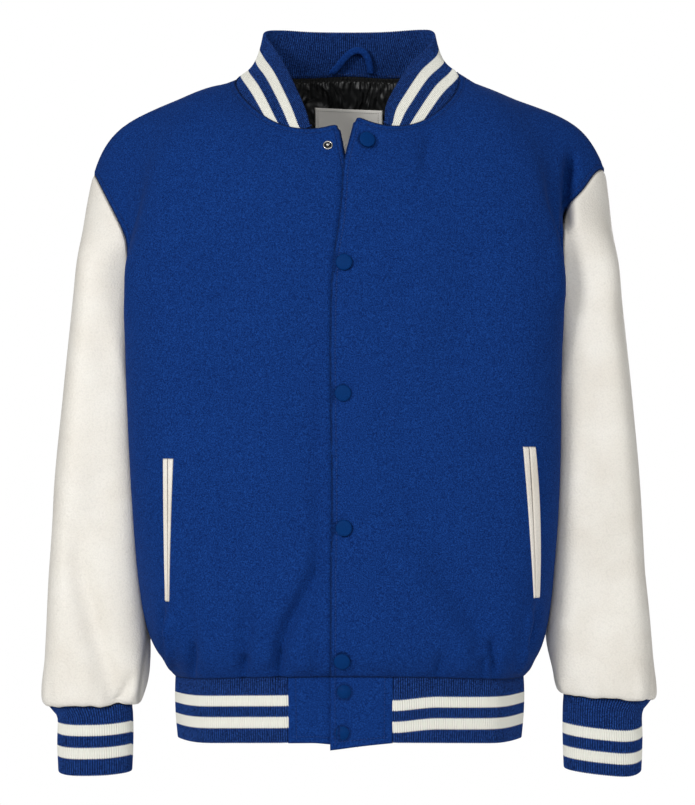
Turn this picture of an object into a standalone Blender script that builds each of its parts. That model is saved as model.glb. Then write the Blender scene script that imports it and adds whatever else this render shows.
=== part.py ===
"""Varsity jacket: wool body, leather sleeves, rib collar, cuffs and hem band, snap front.

The jacket is filled out as if worn.  The wool body and the two sleeves are one smooth
surface, drawn through the sections in the tables below and cut along its seams into
panels.  Each panel is a closed wall.  The ribs are lofted from the panels' own edges.

Tables are in millimetres.  +Z is up, the front faces -Y, and +X is the wearer's left.
The origin is on the mid-plane, at the level of the shoulder seams' neck ends.
"""
import math
from collections import namedtuple

import bpy
import numpy as np
from mathutils import Vector
from mathutils.bvhtree import BVHTree

MM = 0.001
SEAM_GAP = 0.3                 # between two pieces at a seam
WOOL_WALL = 2.2                # melton with its facing
LEATHER_WALL = 1.8
CUFF_WALL = 2.6                # rib knit, folded double
COLLAR_WALL = 3.4
LINING_WALL = 1.0
LABEL_WALL = 0.8
WELT_WALL = 1.8
REST_GAP = 0.35                # between a trim and the panel it lies on
TRIM_GAP = 0.6                 # the same for a trim that bends over a panel's facets

RIGHT, LEFT = -1, 1            # the wearer's sides, as signs of X

# ---- the body below the armholes, one row for each level section ----------------------
Level = namedtuple("Level", "z half_right half_left front back recess side_y wide_y dip")
LEVELS = [
    Level(-622, 179.5, 184.0, -118, 106, 2, 0, -14, 8),
    Level(-605, 193.0, 196.0, -130, 118, 4, -2, -24, 7),
    Level(-568, 209.5, 208.5, -135, 124, 9, -4, -40, 4),
    Level(-490, 219.5, 216.0, -137, 127, 20, -8, -54, 0),
    Level(-385, 225.5, 219.5, -138, 129, 26, -10, -62, 0),
    Level(-285, 229.0, 222.5, -137, 130, 30, -10, -64, 0),
]
FRONT_ANGLES = [21, 39, 60, 90]            # columns 1 to 4, from the front's middle
BACK_ANGLES = [90, 74, 57, 38, 18]         # columns 0 to 4, from the side seam
SQUARENESS = 0.85                          # below 1 the sections are fuller than ellipses

# ---- the front edges: x of each edge and of column 1, which is the tab's edge below ----
Edge = namedtuple("Edge", "over under quarter_right quarter_left")
EDGES = [
    Edge(-23.5, 10, 62, 47),
    Edge(-23.5, 10, 64, 50),
    Edge(-23.0, 10, 68, 58),
    Edge(-22.5, 10, 74, 70),
    Edge(-21.5, 10, 79, 77),
    Edge(-20.5, 10, 81, 80),
]
YOKE_EDGES = [Edge(-18.5, 10, 80, 79), Edge(-12.5, 8, 78, 77), Edge(-3.0, 0, 75, 75)]
UNDERLAP = 6.9                 # how far the under front lies inside the upper one

# ---- the yoke: neckline and shoulder seam, and the rows between them and the pit -------
Point = namedtuple("Point", "x y z")
OVER_CORNER = Point(8.0, -93, -52)
UNDER_CORNER = Point(-8.5, -92, -60)
NECK_FRONT = Point(76, -80, -53.5)
NECK_SIDE = Point(117, -12, -3.5)
NECK_BACK = Point(64, 66, 7)
NECK_NAPE = Point(0, 78, 9.5)
SHOULDER_MIDDLE = Point(175, -9, -26)
SHOULDER_OUTER = Point(235, -7, -54)
LEFT_SHOULDER_LIFT = Point(2.0, 0, 1.5)    # the left shoulder stands this much out and up
YOKE_STEPS = [0.72, 0.43, 0.18]            # rows up from the pit: share of the drop
NECK_ARCH = 1.7                            # how round the rows roll over to the top
FRONT_ARCH = 2.0
BACK_ARCH = 2.6
YOKE_BULGE = [(25, 3), (5, 5), (1, 2)]     # column 4 outwards, in front and behind

# ---- the armhole, one row for each of its eight points --------------------------------
Armhole = namedtuple("Armhole", "name x y z")
LIFT_REACH = 90.0                          # the left shoulder's lift fades out over this drop
ARMHOLE = [
    Armhole("top", 267, 3, -104),
    Armhole("front_3", 244, -41, -149),
    Armhole("front_2", 227, -50, -193),
    Armhole("front_1", 206, -36, -250),
    Armhole("pit", 199, -6, -285),
    Armhole("back_1", 207, 42, -248),
    Armhole("back_2", 224, 62, -197),
    Armhole("back_3", 247, 45, -147),
]
LEFT_ARMHOLE = [Armhole("front_3", 230, -45, -147), Armhole("front_2", 224, -50, -195)]

# ---- the sleeves, one row for each ring from the armhole to the cuff seam -------------
Ring = namedtuple("Ring", "outer_x outer_z outer_y inner_x inner_z inner_y front back clear")
SLEEVE = [
    Ring(279.5, -172, 4, 209, -316, 14, -58, 84, 13),
    Ring(287.5, -232, 2, 212, -350, 22, -60, 88, 12),
    Ring(295.0, -300, 0, 213, -392, 24, -61, 86, 10),
    Ring(301.5, -370, -2, 212, -440, 22, -61, 80, 8),
    Ring(307.5, -440, -4, 211, -492, 16, -60, 71, 6),
    Ring(312.5, -510, -6, 208.5, -545, 10, -58, 62, 3),
]
SLEEVE_ENDS = {
    RIGHT: [
        Ring(316.0, -575, -8, 205.5, -592, 4, -56, 53, 0),
        Ring(319.5, -632, -9, 207.0, -636, -2, -53, 44, 0),
        Ring(318.5, -656, -8, 211.5, -657, -4, -49, 38, 0),
        Ring(309.0, -660, -6, 222.0, -660, -6, -42, 30, 0),
    ],
    LEFT: [
        Ring(317.5, -572, -8, 207.0, -590, 4, -56, 53, 0),
        Ring(321.0, -625, -9, 213.5, -622, -2, -53, 44, 0),
        Ring(321.5, -650, -8, 220.0, -643, -4, -49, 38, 0),
        Ring(314.0, -654, -6, 226.0, -646, -6, -42, 30, 0),
    ],
}
SLEEVE_SQUARENESS = 0.92
INNER_FRONT = 3                            # the ring point pressed flat by the body

# ---- ribs, collar and trims -------------------------------------------------------------
HEM_HEIGHT = 67.0
HEM_SIDE_RISE = 5.0                        # how much shorter the band is at its sides
TAB_DROP = 7.5                             # how far the tabs' front corners hang lower
HEM_ROWS = [0, 0.25, 0.6, 1.0]             # shares of the band's height
TAB_STEPS = 2                              # the tabs' links of the hem's edge
HEM_TAPER = 0.985
CUFF_HEIGHTS = {RIGHT: 71.5, LEFT: 80.5}   # the right one is pushed further up inside
CUFF_TAPER = 0.985
CUFF_ROWS = [0, 0.16, 0.55, 1.0]           # shares of the cuff's height
CUFF_NECK = 5.5                            # how far its outer side draws in below the seam
Station = namedtuple("Station", "seam x y z hold_x hold_y hold_z")
COLLAR = {
    RIGHT: [
        Station(4.0, 0, 70, 53.5, 0, 70, 27),
        Station(3.5, 38, 68, 53.5, 36, 65, 27),
        Station(3.0, 71, 58, 52.5, 63, 56, 21),
        Station(2.5, 87, 34, 48.0, 94, 34, 8),
        Station(2.0, 81, 8, 35.0, 97, 0, 2),
        Station(1.5, 66, -28, 11.0, 88, -44, -14),
        Station(1.0, 51, -63, -22.0, 62, -72, -38),
        Station(0.7, 43, -80, -42.0, 48, -82, -50),
    ],
    LEFT: [
        Station(4.0, 0, 70, 53.5, 0, 70, 27),
        Station(3.5, 38, 68, 53.5, 36, 65, 27),
        Station(3.0, 72, 58, 52.5, 65, 56, 21),
        Station(2.5, 90, 36, 45.0, 98, 34, 8),
        Station(2.0, 86, 6, 33.0, 104, 0, 6),
        Station(1.5, 67, -30, 12.0, 91, -44, -12),
        Station(1.0, 50, -63, -17.0, 64, -72, -36),
        Station(0.7, 42, -80, -36.0, 48, -82, -46),
    ],
}
COLLAR_END = 0.42                          # the seam place where the collar runs out
COLLAR_END_RISE = 2.5
COLLAR_ROWS = 5
CAP_RADIUS = 8.25
CAP_HEIGHT = 2.6
CAPS = [(19.7, -75.5), (-3.5, -201.3), (-4.5, -333.5), (-3.5, -469.8), (-5.5, -604.4)]
TAB_CAPS = [(-3.5, -636.6), (-5.5, -678.6)]
STUD = (-20.0, -81)
Welt = namedtuple("Welt", "side top_x top_z mid_x bottom_x bottom_z top_width bottom_width slit")
WELTS = [
    Welt(RIGHT, 183.8, -400, 186.4, 185.2, -546, 4.2, 1.2, 1.0),
    Welt(LEFT, 187.5, -388, 190.8, 192.0, -543, 5.6, 1.7, 1.2),
]
LINING_LOWEST = -118
LINING_WIDEST = 118
LINING_INSET = 1.6                         # how far its edges stop short, both together
LABEL = {"left": -35, "right": 38, "top": -26, "drop": 50, "tilt": -3}
LOOP = {"left": -11, "right": 25.5, "apex_x": 10.5, "foot_z": 10.5, "apex_z": 33, "bow": 13}
LOOP_WIDTH = 8.0
LOOP_WALL = 2.4

COLOURS = {
    "wool": (0.012, 0.040, 0.185, 0.95),
    "leather": (0.80, 0.76, 0.68, 0.45),
    "rib": (0.012, 0.028, 0.125, 0.90),
    "cap": (0.004, 0.035, 0.155, 0.40),
    "steel": (0.55, 0.55, 0.55, 0.30),
    "satin": (0.006, 0.006, 0.007, 0.35),
    "label": (0.30, 0.28, 0.25, 0.60),
}


def clear_scene():
    for thing in list(bpy.data.objects):
        bpy.data.objects.remove(thing, do_unlink=True)


def material(kind, name):
    """A Principled material of one kind of cloth or metal, for one piece."""
    red, green, blue, roughness = COLOURS[kind]
    made = bpy.data.materials.new(name)
    made.use_nodes = True
    shader = made.node_tree.nodes["Principled BSDF"]
    shader.inputs["Base Color"].default_value = (red, green, blue, 1)
    shader.inputs["Roughness"].default_value = roughness
    shader.inputs["Metallic"].default_value = 1.0 if kind == "steel" else 0.0
    return made


def add_piece(name, kind, points, faces):
    """One closed solid from points in millimetres."""
    mesh = bpy.data.meshes.new(name)
    mesh.from_pydata([tuple(p * MM for p in point) for point in points], [], faces)
    mesh.validate()
    mesh.shade_smooth()
    mesh.set_sharp_from_angle(angle=math.radians(50))
    mesh.materials.append(material(kind, name))
    piece = bpy.data.objects.new(name, mesh)
    bpy.context.scene.collection.objects.link(piece)
    return piece


# ---- the sections' points ---------------------------------------------------------------
def power(value, exponent):
    return math.copysign(abs(value) ** exponent, value)


def dipped(level, x):
    """The height of a level section at an x: it hangs lower at the sides."""
    return level.z - level.dip * (x / level.half_left) ** 2


def front_point(level, side, column):
    """A point of a level section's front: columns 1 to 4, and 5 at the side seam."""
    half = level.half_right if side == RIGHT else level.half_left
    if column == 5:
        x = half - level.recess
        return Point(side * x, level.side_y, dipped(level, x))
    angle = math.radians(FRONT_ANGLES[column - 1])
    x = half * power(math.sin(angle), SQUARENESS)
    y = level.wide_y + (level.front - level.wide_y) * power(math.cos(angle), SQUARENESS)
    return Point(side * x, y, dipped(level, x))


def front_depth(level, x):
    """How far forward a level section reaches at an x near the middle."""
    half = 0.5 * (level.half_right + level.half_left)
    sine = min(abs(x) / half, 1) ** (1 / SQUARENESS)
    cosine = math.sqrt(1 - sine * sine)
    return level.wide_y + (level.front - level.wide_y) * cosine ** SQUARENESS


def back_point(level, side, column):
    half = (level.half_right if side == RIGHT else level.half_left) - level.recess
    angle = math.radians(BACK_ANGLES[column])
    x = half * power(math.cos(angle), SQUARENESS)
    y = level.side_y + (level.back - level.side_y) * power(math.sin(angle), SQUARENESS)
    return Point(side * x if column else 0.0, y, dipped(level, x) if column else level.z)


def edge_point(edge, side, level):
    """The front edge's point, with the right front tucked under the left one."""
    x = edge.over if side == LEFT else edge.under
    tuck = UNDERLAP if side == RIGHT else 0.0
    return Point(x, front_depth(level, x) + tuck, dipped(level, x))


def quarter_point(edge, side, level):
    x = edge.quarter_right if side == RIGHT else edge.quarter_left
    return Point(side * x, front_depth(level, x), dipped(level, x))


def arch(top, foot, share, roundness):
    """A point part of the way down from the top of a yoke column to its foot."""
    across = (1 - (1 - share) ** roundness) ** (1 / roundness)
    return Point(top.x + (foot.x - top.x) * across,
                 top.y + (foot.y - top.y) * across,
                 top.z + (foot.z - top.z) * share)


def mirrored(point, side):
    return Point(side * point.x, point.y, point.z)


def armhole_point(name, side):
    rows = LEFT_ARMHOLE + ARMHOLE if side == LEFT else ARMHOLE
    found = next(row for row in rows if row.name == name)
    return shoulder_lifted(Point(found.x, found.y, found.z), side)


def shoulder_lifted(point, side):
    """A shoulder point on its own side, lifted on the left by how high up it lies."""
    share = min(max(1 + (point.z - ARMHOLE[0].z) / LIFT_REACH, 0), 1) if side == LEFT else 0
    return Point(side * (point.x + LEFT_SHOULDER_LIFT.x * share), point.y,
                 point.z + LEFT_SHOULDER_LIFT.z * share)


def between(one, two, outwards, forwards, side):
    return Point(0.5 * (one.x + two.x) + side * outwards,
                 0.5 * (one.y + two.y) + forwards,
                 0.5 * (one.z + two.z))


def front_columns(side):
    """The front's points as rows of six, from the hem up to the neck and shoulder."""
    rows = []
    for level, edge in zip(LEVELS, EDGES):
        row = [edge_point(edge, side, level), quarter_point(edge, side, level)]
        rows.append(row + [front_point(level, side, column) for column in (2, 3, 4, 5)])
    pit = rows[-1]
    corner = OVER_CORNER if side == LEFT else UNDER_CORNER
    tops = [corner, mirrored(NECK_FRONT, side), mirrored(NECK_SIDE, side),
            mirrored(SHOULDER_MIDDLE, side), shoulder_lifted(SHOULDER_OUTER, side),
            armhole_point("top", side)]
    arches = [NECK_ARCH, NECK_ARCH, FRONT_ARCH, FRONT_ARCH]
    for index, share in enumerate(YOKE_STEPS):
        row = [arch(tops[c], pit[c], share, arches[c]) for c in range(4)]
        edge = YOKE_EDGES[index]
        row[0] = row[0]._replace(x=edge.over if side == LEFT else edge.under)
        seam = armhole_point("front_%d" % (index + 1), side)
        outwards = YOKE_BULGE[index][0]
        row.append(between(row[3], seam, outwards, -0.2 * outwards, side))
        rows.append(row + [seam])
    rows.append(tops)
    return rows


def back_columns(side):
    """The back's points as rows of six, from the middle out to the armhole."""
    rows = []
    for level in LEVELS:
        row = [back_point(level, side, column) for column in range(5)]
        rows.append(row + [front_point(level, side, 5)])
    pit = rows[-1]
    tops = [NECK_NAPE, mirrored(NECK_BACK, side), mirrored(NECK_SIDE, side),
            mirrored(SHOULDER_MIDDLE, side), shoulder_lifted(SHOULDER_OUTER, side),
            armhole_point("top", side)]
    arches = [NECK_ARCH, NECK_ARCH, BACK_ARCH, BACK_ARCH]
    for index, share in enumerate(YOKE_STEPS):
        row = [arch(tops[c], pit[c], share, arches[c]) for c in range(4)]
        seam = armhole_point("back_%d" % (index + 1), side)
        outwards = YOKE_BULGE[index][1]
        row.append(between(row[3], seam, outwards, outwards, side))
        rows.append(row + [seam])
    rows.append(tops)
    return rows


def sleeve_rings(side):
    """Rings of eight points, in the armhole's order: top, front, pit, back."""
    rings = [[armhole_point(row.name, side) for row in ARMHOLE]]
    for ring in SLEEVE + SLEEVE_ENDS[side]:
        points = []
        for step in range(8):
            angle = math.radians(45 * step)
            along = power(math.cos(angle), SLEEVE_SQUARENESS)
            across = power(math.sin(angle), SLEEVE_SQUARENESS)
            reach = (ring.back - ring.front) / 2
            middle_y = (ring.front + ring.back) / 2
            tilt_y = (ring.outer_y - ring.inner_y) / 2
            x = (ring.outer_x + ring.inner_x) / 2 + along * (ring.outer_x - ring.inner_x) / 2
            z = (ring.outer_z + ring.inner_z) / 2 + along * (ring.outer_z - ring.inner_z) / 2
            y = middle_y + along * tilt_y - across * reach
            if step == INNER_FRONT:
                x += ring.clear * 0.6
                y += ring.clear
            points.append(Point(side * x, y, z))
        rings.append(points)
    return rings


# ---- the smooth surface ---------------------------------------------------------------
class Cage:
    """Points and four-sided faces, each face tagged with its panel."""

    def __init__(self):
        self.points = []
        self.faces = []
        self.panels = []
        self.known = {}

    def point(self, place):
        key = tuple(round(value, 3) for value in place)
        if key not in self.known:
            self.known[key] = len(self.points)
            self.points.append(tuple(place))
        return self.known[key]

    def strip(self, lower, upper, panel, flip, closed=False):
        """Faces between two rows of points."""
        count = len(lower)
        for step in range(count if closed else count - 1):
            after = (step + 1) % count
            corners = [lower[step], lower[after], upper[after], upper[step]]
            face = [self.point(corner) for corner in corners]
            self.faces.append(face[::-1] if flip else face)
            self.panels.append(panel)


PANELS = ["front_right", "front_left", "back", "sleeve_right", "sleeve_left"]


def jacket_cage():
    cage = Cage()
    for side in (RIGHT, LEFT):
        name = "right" if side == RIGHT else "left"
        front = front_columns(side)
        back = back_columns(side)
        rings = sleeve_rings(side)
        for lower, upper in zip(front, front[1:]):
            cage.strip(lower, upper, PANELS.index("front_" + name), side == RIGHT)
        for lower, upper in zip(back, back[1:]):
            cage.strip(lower, upper, PANELS.index("back"), side == LEFT)
        for upper, lower in zip(rings, rings[1:]):
            cage.strip(lower, upper, PANELS.index("sleeve_" + name), side == LEFT, closed=True)
    return cage


def neighbours(cage):
    """For each point: its edge neighbours, its faces' far corners and its border neighbours."""
    count = len(cage.points)
    edges = [set() for _ in range(count)]
    corners = [[] for _ in range(count)]
    uses = {}
    for face in cage.faces:
        for step in range(4):
            here, after = face[step], face[(step + 1) % 4]
            edges[here].add(after)
            edges[after].add(here)
            corners[here].append(face[(step + 2) % 4])
            key = (min(here, after), max(here, after))
            uses[key] = uses.get(key, 0) + 1
    border = [[] for _ in range(count)]
    for (one, two), times in uses.items():
        if times == 1:
            border[one].append(two)
            border[two].append(one)
    return edges, corners, border


def hold_sections(cage):
    """Move the cage's points so that its smooth surface passes through the sections."""
    edges, corners, border = neighbours(cage)
    count = len(cage.points)
    weights = np.zeros((count, count))
    for index in range(count):
        valence = len(edges[index])
        if border[index] and len(corners[index]) == 1:
            weights[index, index] = 1
        elif border[index]:
            weights[index, index] = 4 / 6
            for other in border[index]:
                weights[index, other] = 1 / 6
        else:
            total = valence * (valence + 5)
            weights[index, index] = valence * valence / total
            for other in edges[index]:
                weights[index, other] += 4 / total
            for other in corners[index]:
                weights[index, other] += 1 / total
    return np.linalg.solve(weights, np.array(cage.points))


def smooth_surface(level):
    """The jacket's surface, with the panel of each face and the points' normals."""
    cage = jacket_cage()
    mesh = bpy.data.meshes.new("pattern")
    mesh.from_pydata([tuple(point) for point in hold_sections(cage)], [], cage.faces)
    guide = bpy.data.objects.new("pattern", mesh)
    bpy.context.scene.collection.objects.link(guide)
    for index, panel in enumerate(cage.panels):
        mesh.polygons[index].material_index = panel
    for name in PANELS:
        mesh.materials.append(None)
    smoothing = guide.modifiers.new("smooth", "SUBSURF")
    smoothing.levels = level
    smoothing.render_levels = level
    smoothing.boundary_smooth = "PRESERVE_CORNERS"
    graph = bpy.context.evaluated_depsgraph_get()
    made = guide.evaluated_get(graph).to_mesh()
    points = np.array([vertex.co[:] for vertex in made.vertices])
    normals = np.array([vertex.normal[:] for vertex in made.vertices])
    faces = [tuple(face.vertices) for face in made.polygons]
    panels = [face.material_index for face in made.polygons]
    guide.evaluated_get(graph).to_mesh_clear()
    bpy.data.objects.remove(guide, do_unlink=True)
    return points, normals, faces, panels


# ---- walls ----------------------------------------------------------------------------
def split(points, normals, face):
    """A four-sided face as two triangles, along the diagonal that stands further out."""
    a, b, c, d = face
    outwards = normals[a] + normals[b] + normals[c] + normals[d]
    rise = np.dot((points[a] + points[c]) - (points[b] + points[d]), outwards)
    if rise >= 0:
        return [(a, b, c), (a, c, d)]
    return [(a, b, d), (b, c, d)]


def rim_faces(points, here, after, count, place):
    """Two triangles across a wall's edge, split the same way from both sides of a seam."""
    score = np.dot(points[here] - points[after], (1.0, 1.7, 2.3))
    one, two = place[after], place[here]
    under_one, under_two = count + one, count + two
    if score > 0:
        return [(one, two, under_one), (two, under_two, under_one)]
    return [(one, two, under_two), (one, under_two, under_one)]


def inward_shift(points, normals, faces):
    """For each point on the border of some faces, the way to their inside."""
    uses = {}
    for face in faces:
        for step, here in enumerate(face):
            after = face[(step + 1) % len(face)]
            uses[(here, after)] = True
    ways = {}
    rim = []
    for here, after in uses:
        if (after, here) in uses:
            continue
        rim.append((here, after))
        along = points[after] - points[here]
        for index in (here, after):
            way = np.cross(normals[index], along)
            ways.setdefault(index, []).append(way / np.linalg.norm(way))
    shifts = {}
    for index, pair in ways.items():
        total = sum(pair)
        shifts[index] = total / (1 + float(np.dot(pair[0], pair[-1]))) if len(pair) == 2 else total
    return shifts, rim


def wall(name, kind, points, normals, faces, thickness, depth=0.0, gap=SEAM_GAP):
    """A closed wall behind some faces, starting at a depth under them."""
    used = sorted({index for face in faces for index in face})
    place = {index: number for number, index in enumerate(used)}
    shifts, rim = inward_shift(points, normals, faces)
    outer = []
    inner = []
    for index in used:
        spot = points[index] + shifts.get(index, np.zeros(3)) * gap / 2
        outer.append(spot - normals[index] * depth)
        inner.append(spot - normals[index] * (depth + thickness))
    count = len(used)
    skin = [three for face in faces for three in split(points, normals, face)]
    solid = [tuple(place[index] for index in face) for face in skin]
    solid += [tuple(count + place[index] for index in face[::-1]) for face in skin]
    for here, after in rim:
        solid += rim_faces(points, here, after, count, place)
    return add_piece(name, kind, outer + inner, solid)


def panel(surface, name, kind, thickness):
    points, normals, faces, panels = surface
    chosen = [face for face, tag in zip(faces, panels) if PANELS[tag] == name]
    return wall(name, kind, points, normals, chosen, thickness)


def border_chain(surface, chosen_panels, lowest, highest, start, end=None):
    """Border points of some panels between two heights, in order from one x to another."""
    points, normals, faces, panels = surface
    chosen = [face for face, tag in zip(faces, panels) if PANELS[tag] in chosen_panels]
    whole = {}
    for face in faces:
        for step, here in enumerate(face):
            whole[(here, face[(step + 1) % 4])] = True
    links = {}
    for face in chosen:
        for step, here in enumerate(face):
            after = face[(step + 1) % 4]
            if (after, here) not in whole:
                heights = (points[here][2], points[after][2])
                if lowest <= min(heights) and max(heights) <= highest:
                    links.setdefault(here, []).append(after)
                    links.setdefault(after, []).append(here)
    first = min(links, key=lambda index: np.linalg.norm(points[index] - np.array(start)))
    chain = [first]
    ahead = links[first]
    if end is not None:
        ahead = sorted(ahead, key=lambda index: np.linalg.norm(points[index] - np.array(end)))
    current = ahead[0]
    while current != first:
        chain.append(current)
        onward = [index for index in links[current] if index != chain[-2]]
        if not onward:
            break
        current = onward[0]
    return chain


def loft_grid(rows, seam_normals, seam_share, closed, flip):
    """Points, normals and faces through rows of points, from the row at a seam outwards.

    The seam row keeps the panel's normals, shortened by the share of the wall that meets
    the panel there, so that both walls end in the same face.
    """
    grid = np.array(rows)
    count = grid.shape[1]
    points = grid.reshape(-1, 3)
    faces = []
    for row in range(len(rows) - 1):
        for step in range(count if closed else count - 1):
            after = (step + 1) % count
            face = (row * count + step, row * count + after,
                    (row + 1) * count + after, (row + 1) * count + step)
            faces.append(face[::-1] if flip else face)
    normals = np.zeros_like(points)
    for face in faces:
        way = np.cross(points[face[2]] - points[face[0]], points[face[3]] - points[face[1]])
        for index in face:
            normals[index] += way
    normals /= np.linalg.norm(normals, axis=1)[:, None]
    normals[:count] = np.array(seam_normals) * seam_share
    return points, normals, faces


def slab(name, kind, under, over, flip):
    """A thin solid between two matching grids of points."""
    rows, columns = len(under), len(under[0])
    points = [spot for row in over for spot in row] + [spot for row in under for spot in row]
    count = rows * columns
    faces = []
    for row in range(rows - 1):
        for step in range(columns - 1):
            first = row * columns + step
            face = (first, first + 1, first + columns + 1, first + columns)
            faces.append(face[::-1] if flip else face)
    uses = {(face[k], face[(k + 1) % 4]) for face in faces for k in range(4)}
    solid = faces + [tuple(count + index for index in face[::-1]) for face in faces]
    for here, after in sorted(uses):
        if (after, here) not in uses:
            solid.append((after, here, count + here, count + after))
    return add_piece(name, kind, points, solid)


# ---- pieces ---------------------------------------------------------------------------
def tab_drop(step, count):
    """How much longer the hem band is at a link of its edge, near the front edges."""
    from_edge = min(step, count - 1 - step)
    return TAB_DROP * max(0.0, 1 - from_edge / TAB_STEPS)


def hem_pieces(surface):
    """The rib band round the back and the two wool tabs at the front."""
    points, normals = surface[0], surface[1]
    hem_z = LEVELS[0].z
    start = edge_point(EDGES[0], RIGHT, LEVELS[0])
    end = quarter_point(EDGES[0], RIGHT, LEVELS[0])
    chain = border_chain(surface, ["front_right", "front_left", "back"],
                         hem_z - LEVELS[0].dip - 3, hem_z + 3, start, end)
    rows = []
    for share in HEM_ROWS:
        taper = 1 + (HEM_TAPER - 1) * share
        row = []
        for step, i in enumerate(chain):
            height = HEM_HEIGHT + tab_drop(step, len(chain))
            height -= HEM_SIDE_RISE * (points[i][0] / LEVELS[0].half_left) ** 2
            row.append(points[i] * (taper, taper, 1) - (0, 0, share * height))
        rows.append(row)
    grid, grid_normals, faces = loft_grid(rows, [normals[i] for i in chain], 1, False, False)
    width = len(chain) - 1
    made = {}
    for name, kind, first, last in (
            ("hem_tab_right", "wool", 0, TAB_STEPS),
            ("hem_rib", "rib", TAB_STEPS, width - TAB_STEPS),
            ("hem_tab_left", "wool", width - TAB_STEPS, width)):
        chosen = [face for number, face in enumerate(faces) if first <= number % width < last]
        made[name] = wall(name, kind, grid, grid_normals, chosen, WOOL_WALL)
    return made


def cuff(surface, side):
    points, normals = surface[0], surface[1]
    name = "right" if side == RIGHT else "left"
    last = SLEEVE[-1]
    start = (side * last.outer_x, last.outer_y, last.outer_z)
    chain = border_chain(surface, ["sleeve_" + name], -720, -600, start)
    if points[chain[1]][1] > points[chain[-1]][1]:
        chain = [chain[0]] + chain[:0:-1]
    centre = np.mean([points[i] for i in chain], axis=0)
    rows = []
    half = max(abs(points[i][0] - centre[0]) for i in chain)
    for share in CUFF_ROWS:
        taper = 1 + (CUFF_TAPER - 1) * share
        neck = CUFF_NECK / 2 * min(share / CUFF_ROWS[1], 1)
        row = []
        for i in chain:
            offset = points[i] - centre
            shift = -side * neck * (1 + side * offset[0] / half)
            row.append(centre + offset * (taper, taper, 1)
                       + (shift, 0, -share * CUFF_HEIGHTS[side]))
        rows.append(row)
    grid, grid_normals, faces = loft_grid(rows, [normals[i] for i in chain],
                                          LEATHER_WALL / CUFF_WALL, True, side == RIGHT)
    return wall("cuff_" + name, "rib", grid, grid_normals, faces, CUFF_WALL)


def neck_chain(surface):
    """The neckline from the left front's corner round the back to the right front's."""
    chain = border_chain(surface, ["front_right", "front_left", "back"], -70, 20,
                         OVER_CORNER, NECK_FRONT)
    return [surface[0][i] for i in chain], [surface[1][i] for i in chain]


def along(chain, place):
    """A place along a chain with two links for each unit."""
    start = min(int(place * 2), len(chain) - 2)
    share = place * 2 - start
    return chain[start] * (1 - share) + chain[start + 1] * share


def collar(surface):
    """The collar, from its left point round the nape to its right point."""
    spots, normals = neck_chain(surface)
    stations = [(station, LEFT) for station in COLLAR[LEFT][::-1]]
    stations += [(station, RIGHT) for station in COLLAR[RIGHT][1:]]
    stations = [(None, LEFT)] + stations + [(None, RIGHT)]
    rows = [[] for _ in range(COLLAR_ROWS + 1)]
    base = []
    for station, side in stations:
        seam = station.seam if station else COLLAR_END
        place = seam if side == LEFT else 8 - seam
        foot = along(spots, place)
        if station:
            hold = np.array((side * station.hold_x, station.hold_y, station.hold_z))
            top = np.array((side * station.x, station.y, station.z))
        else:
            top = foot + (0, 0, COLLAR_END_RISE)
            hold = (foot + top) / 2
        normal = along(normals, place)
        base.append(normal / np.linalg.norm(normal))
        for row in range(COLLAR_ROWS + 1):
            share = row / COLLAR_ROWS
            rows[row].append((1 - share) ** 2 * foot + 2 * share * (1 - share) * hold
                             + share ** 2 * top)
    grid, grid_normals, faces = loft_grid(rows, base, WOOL_WALL / COLLAR_WALL, False, False)
    return wall("collar_rib", "rib", grid, grid_normals, faces, COLLAR_WALL)


def lining(surface):
    """The satin inside the upper back, made from the back's own points."""
    points, normals, faces, panels = surface
    chosen = []
    for face, tag in zip(faces, panels):
        middle = np.mean([points[i] for i in face], axis=0)
        if PANELS[tag] == "back" and middle[2] > LINING_LOWEST and abs(middle[0]) < LINING_WIDEST:
            chosen.append(face)
    depth = WOOL_WALL + REST_GAP
    return wall("lining_back", "satin", points, normals, chosen, LINING_WALL, depth, LINING_INSET)


def tree_of(piece):
    mesh = piece.data
    places = [vertex.co / MM for vertex in mesh.vertices]
    return BVHTree.FromPolygons(places, [tuple(face.vertices) for face in mesh.polygons])


def cast(tree, x, z, start_y, way_y):
    """The first point met along Y, and its normal."""
    spot, normal, _, _ = tree.ray_cast(Vector((x, start_y, z)), Vector((0, way_y, 0)))
    return np.array(spot[:]), np.array(normal[:])


def label(lining_piece):
    """A plain label on the lining."""
    tree = tree_of(lining_piece)
    under = []
    for down in range(5):
        row = []
        for across in range(7):
            share = across / 6
            x = LABEL["left"] + (LABEL["right"] - LABEL["left"]) * share
            z = LABEL["top"] + LABEL["tilt"] * share - LABEL["drop"] * down / 4
            row.append(cast(tree, x, z, -40, 1)[0] - (0, TRIM_GAP, 0))
        under.append(row)
    over = [[spot - (0, LABEL_WALL, 0) for spot in row] for row in under]
    return slab("neck_label", "label", under, over, flip=True)


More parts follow.
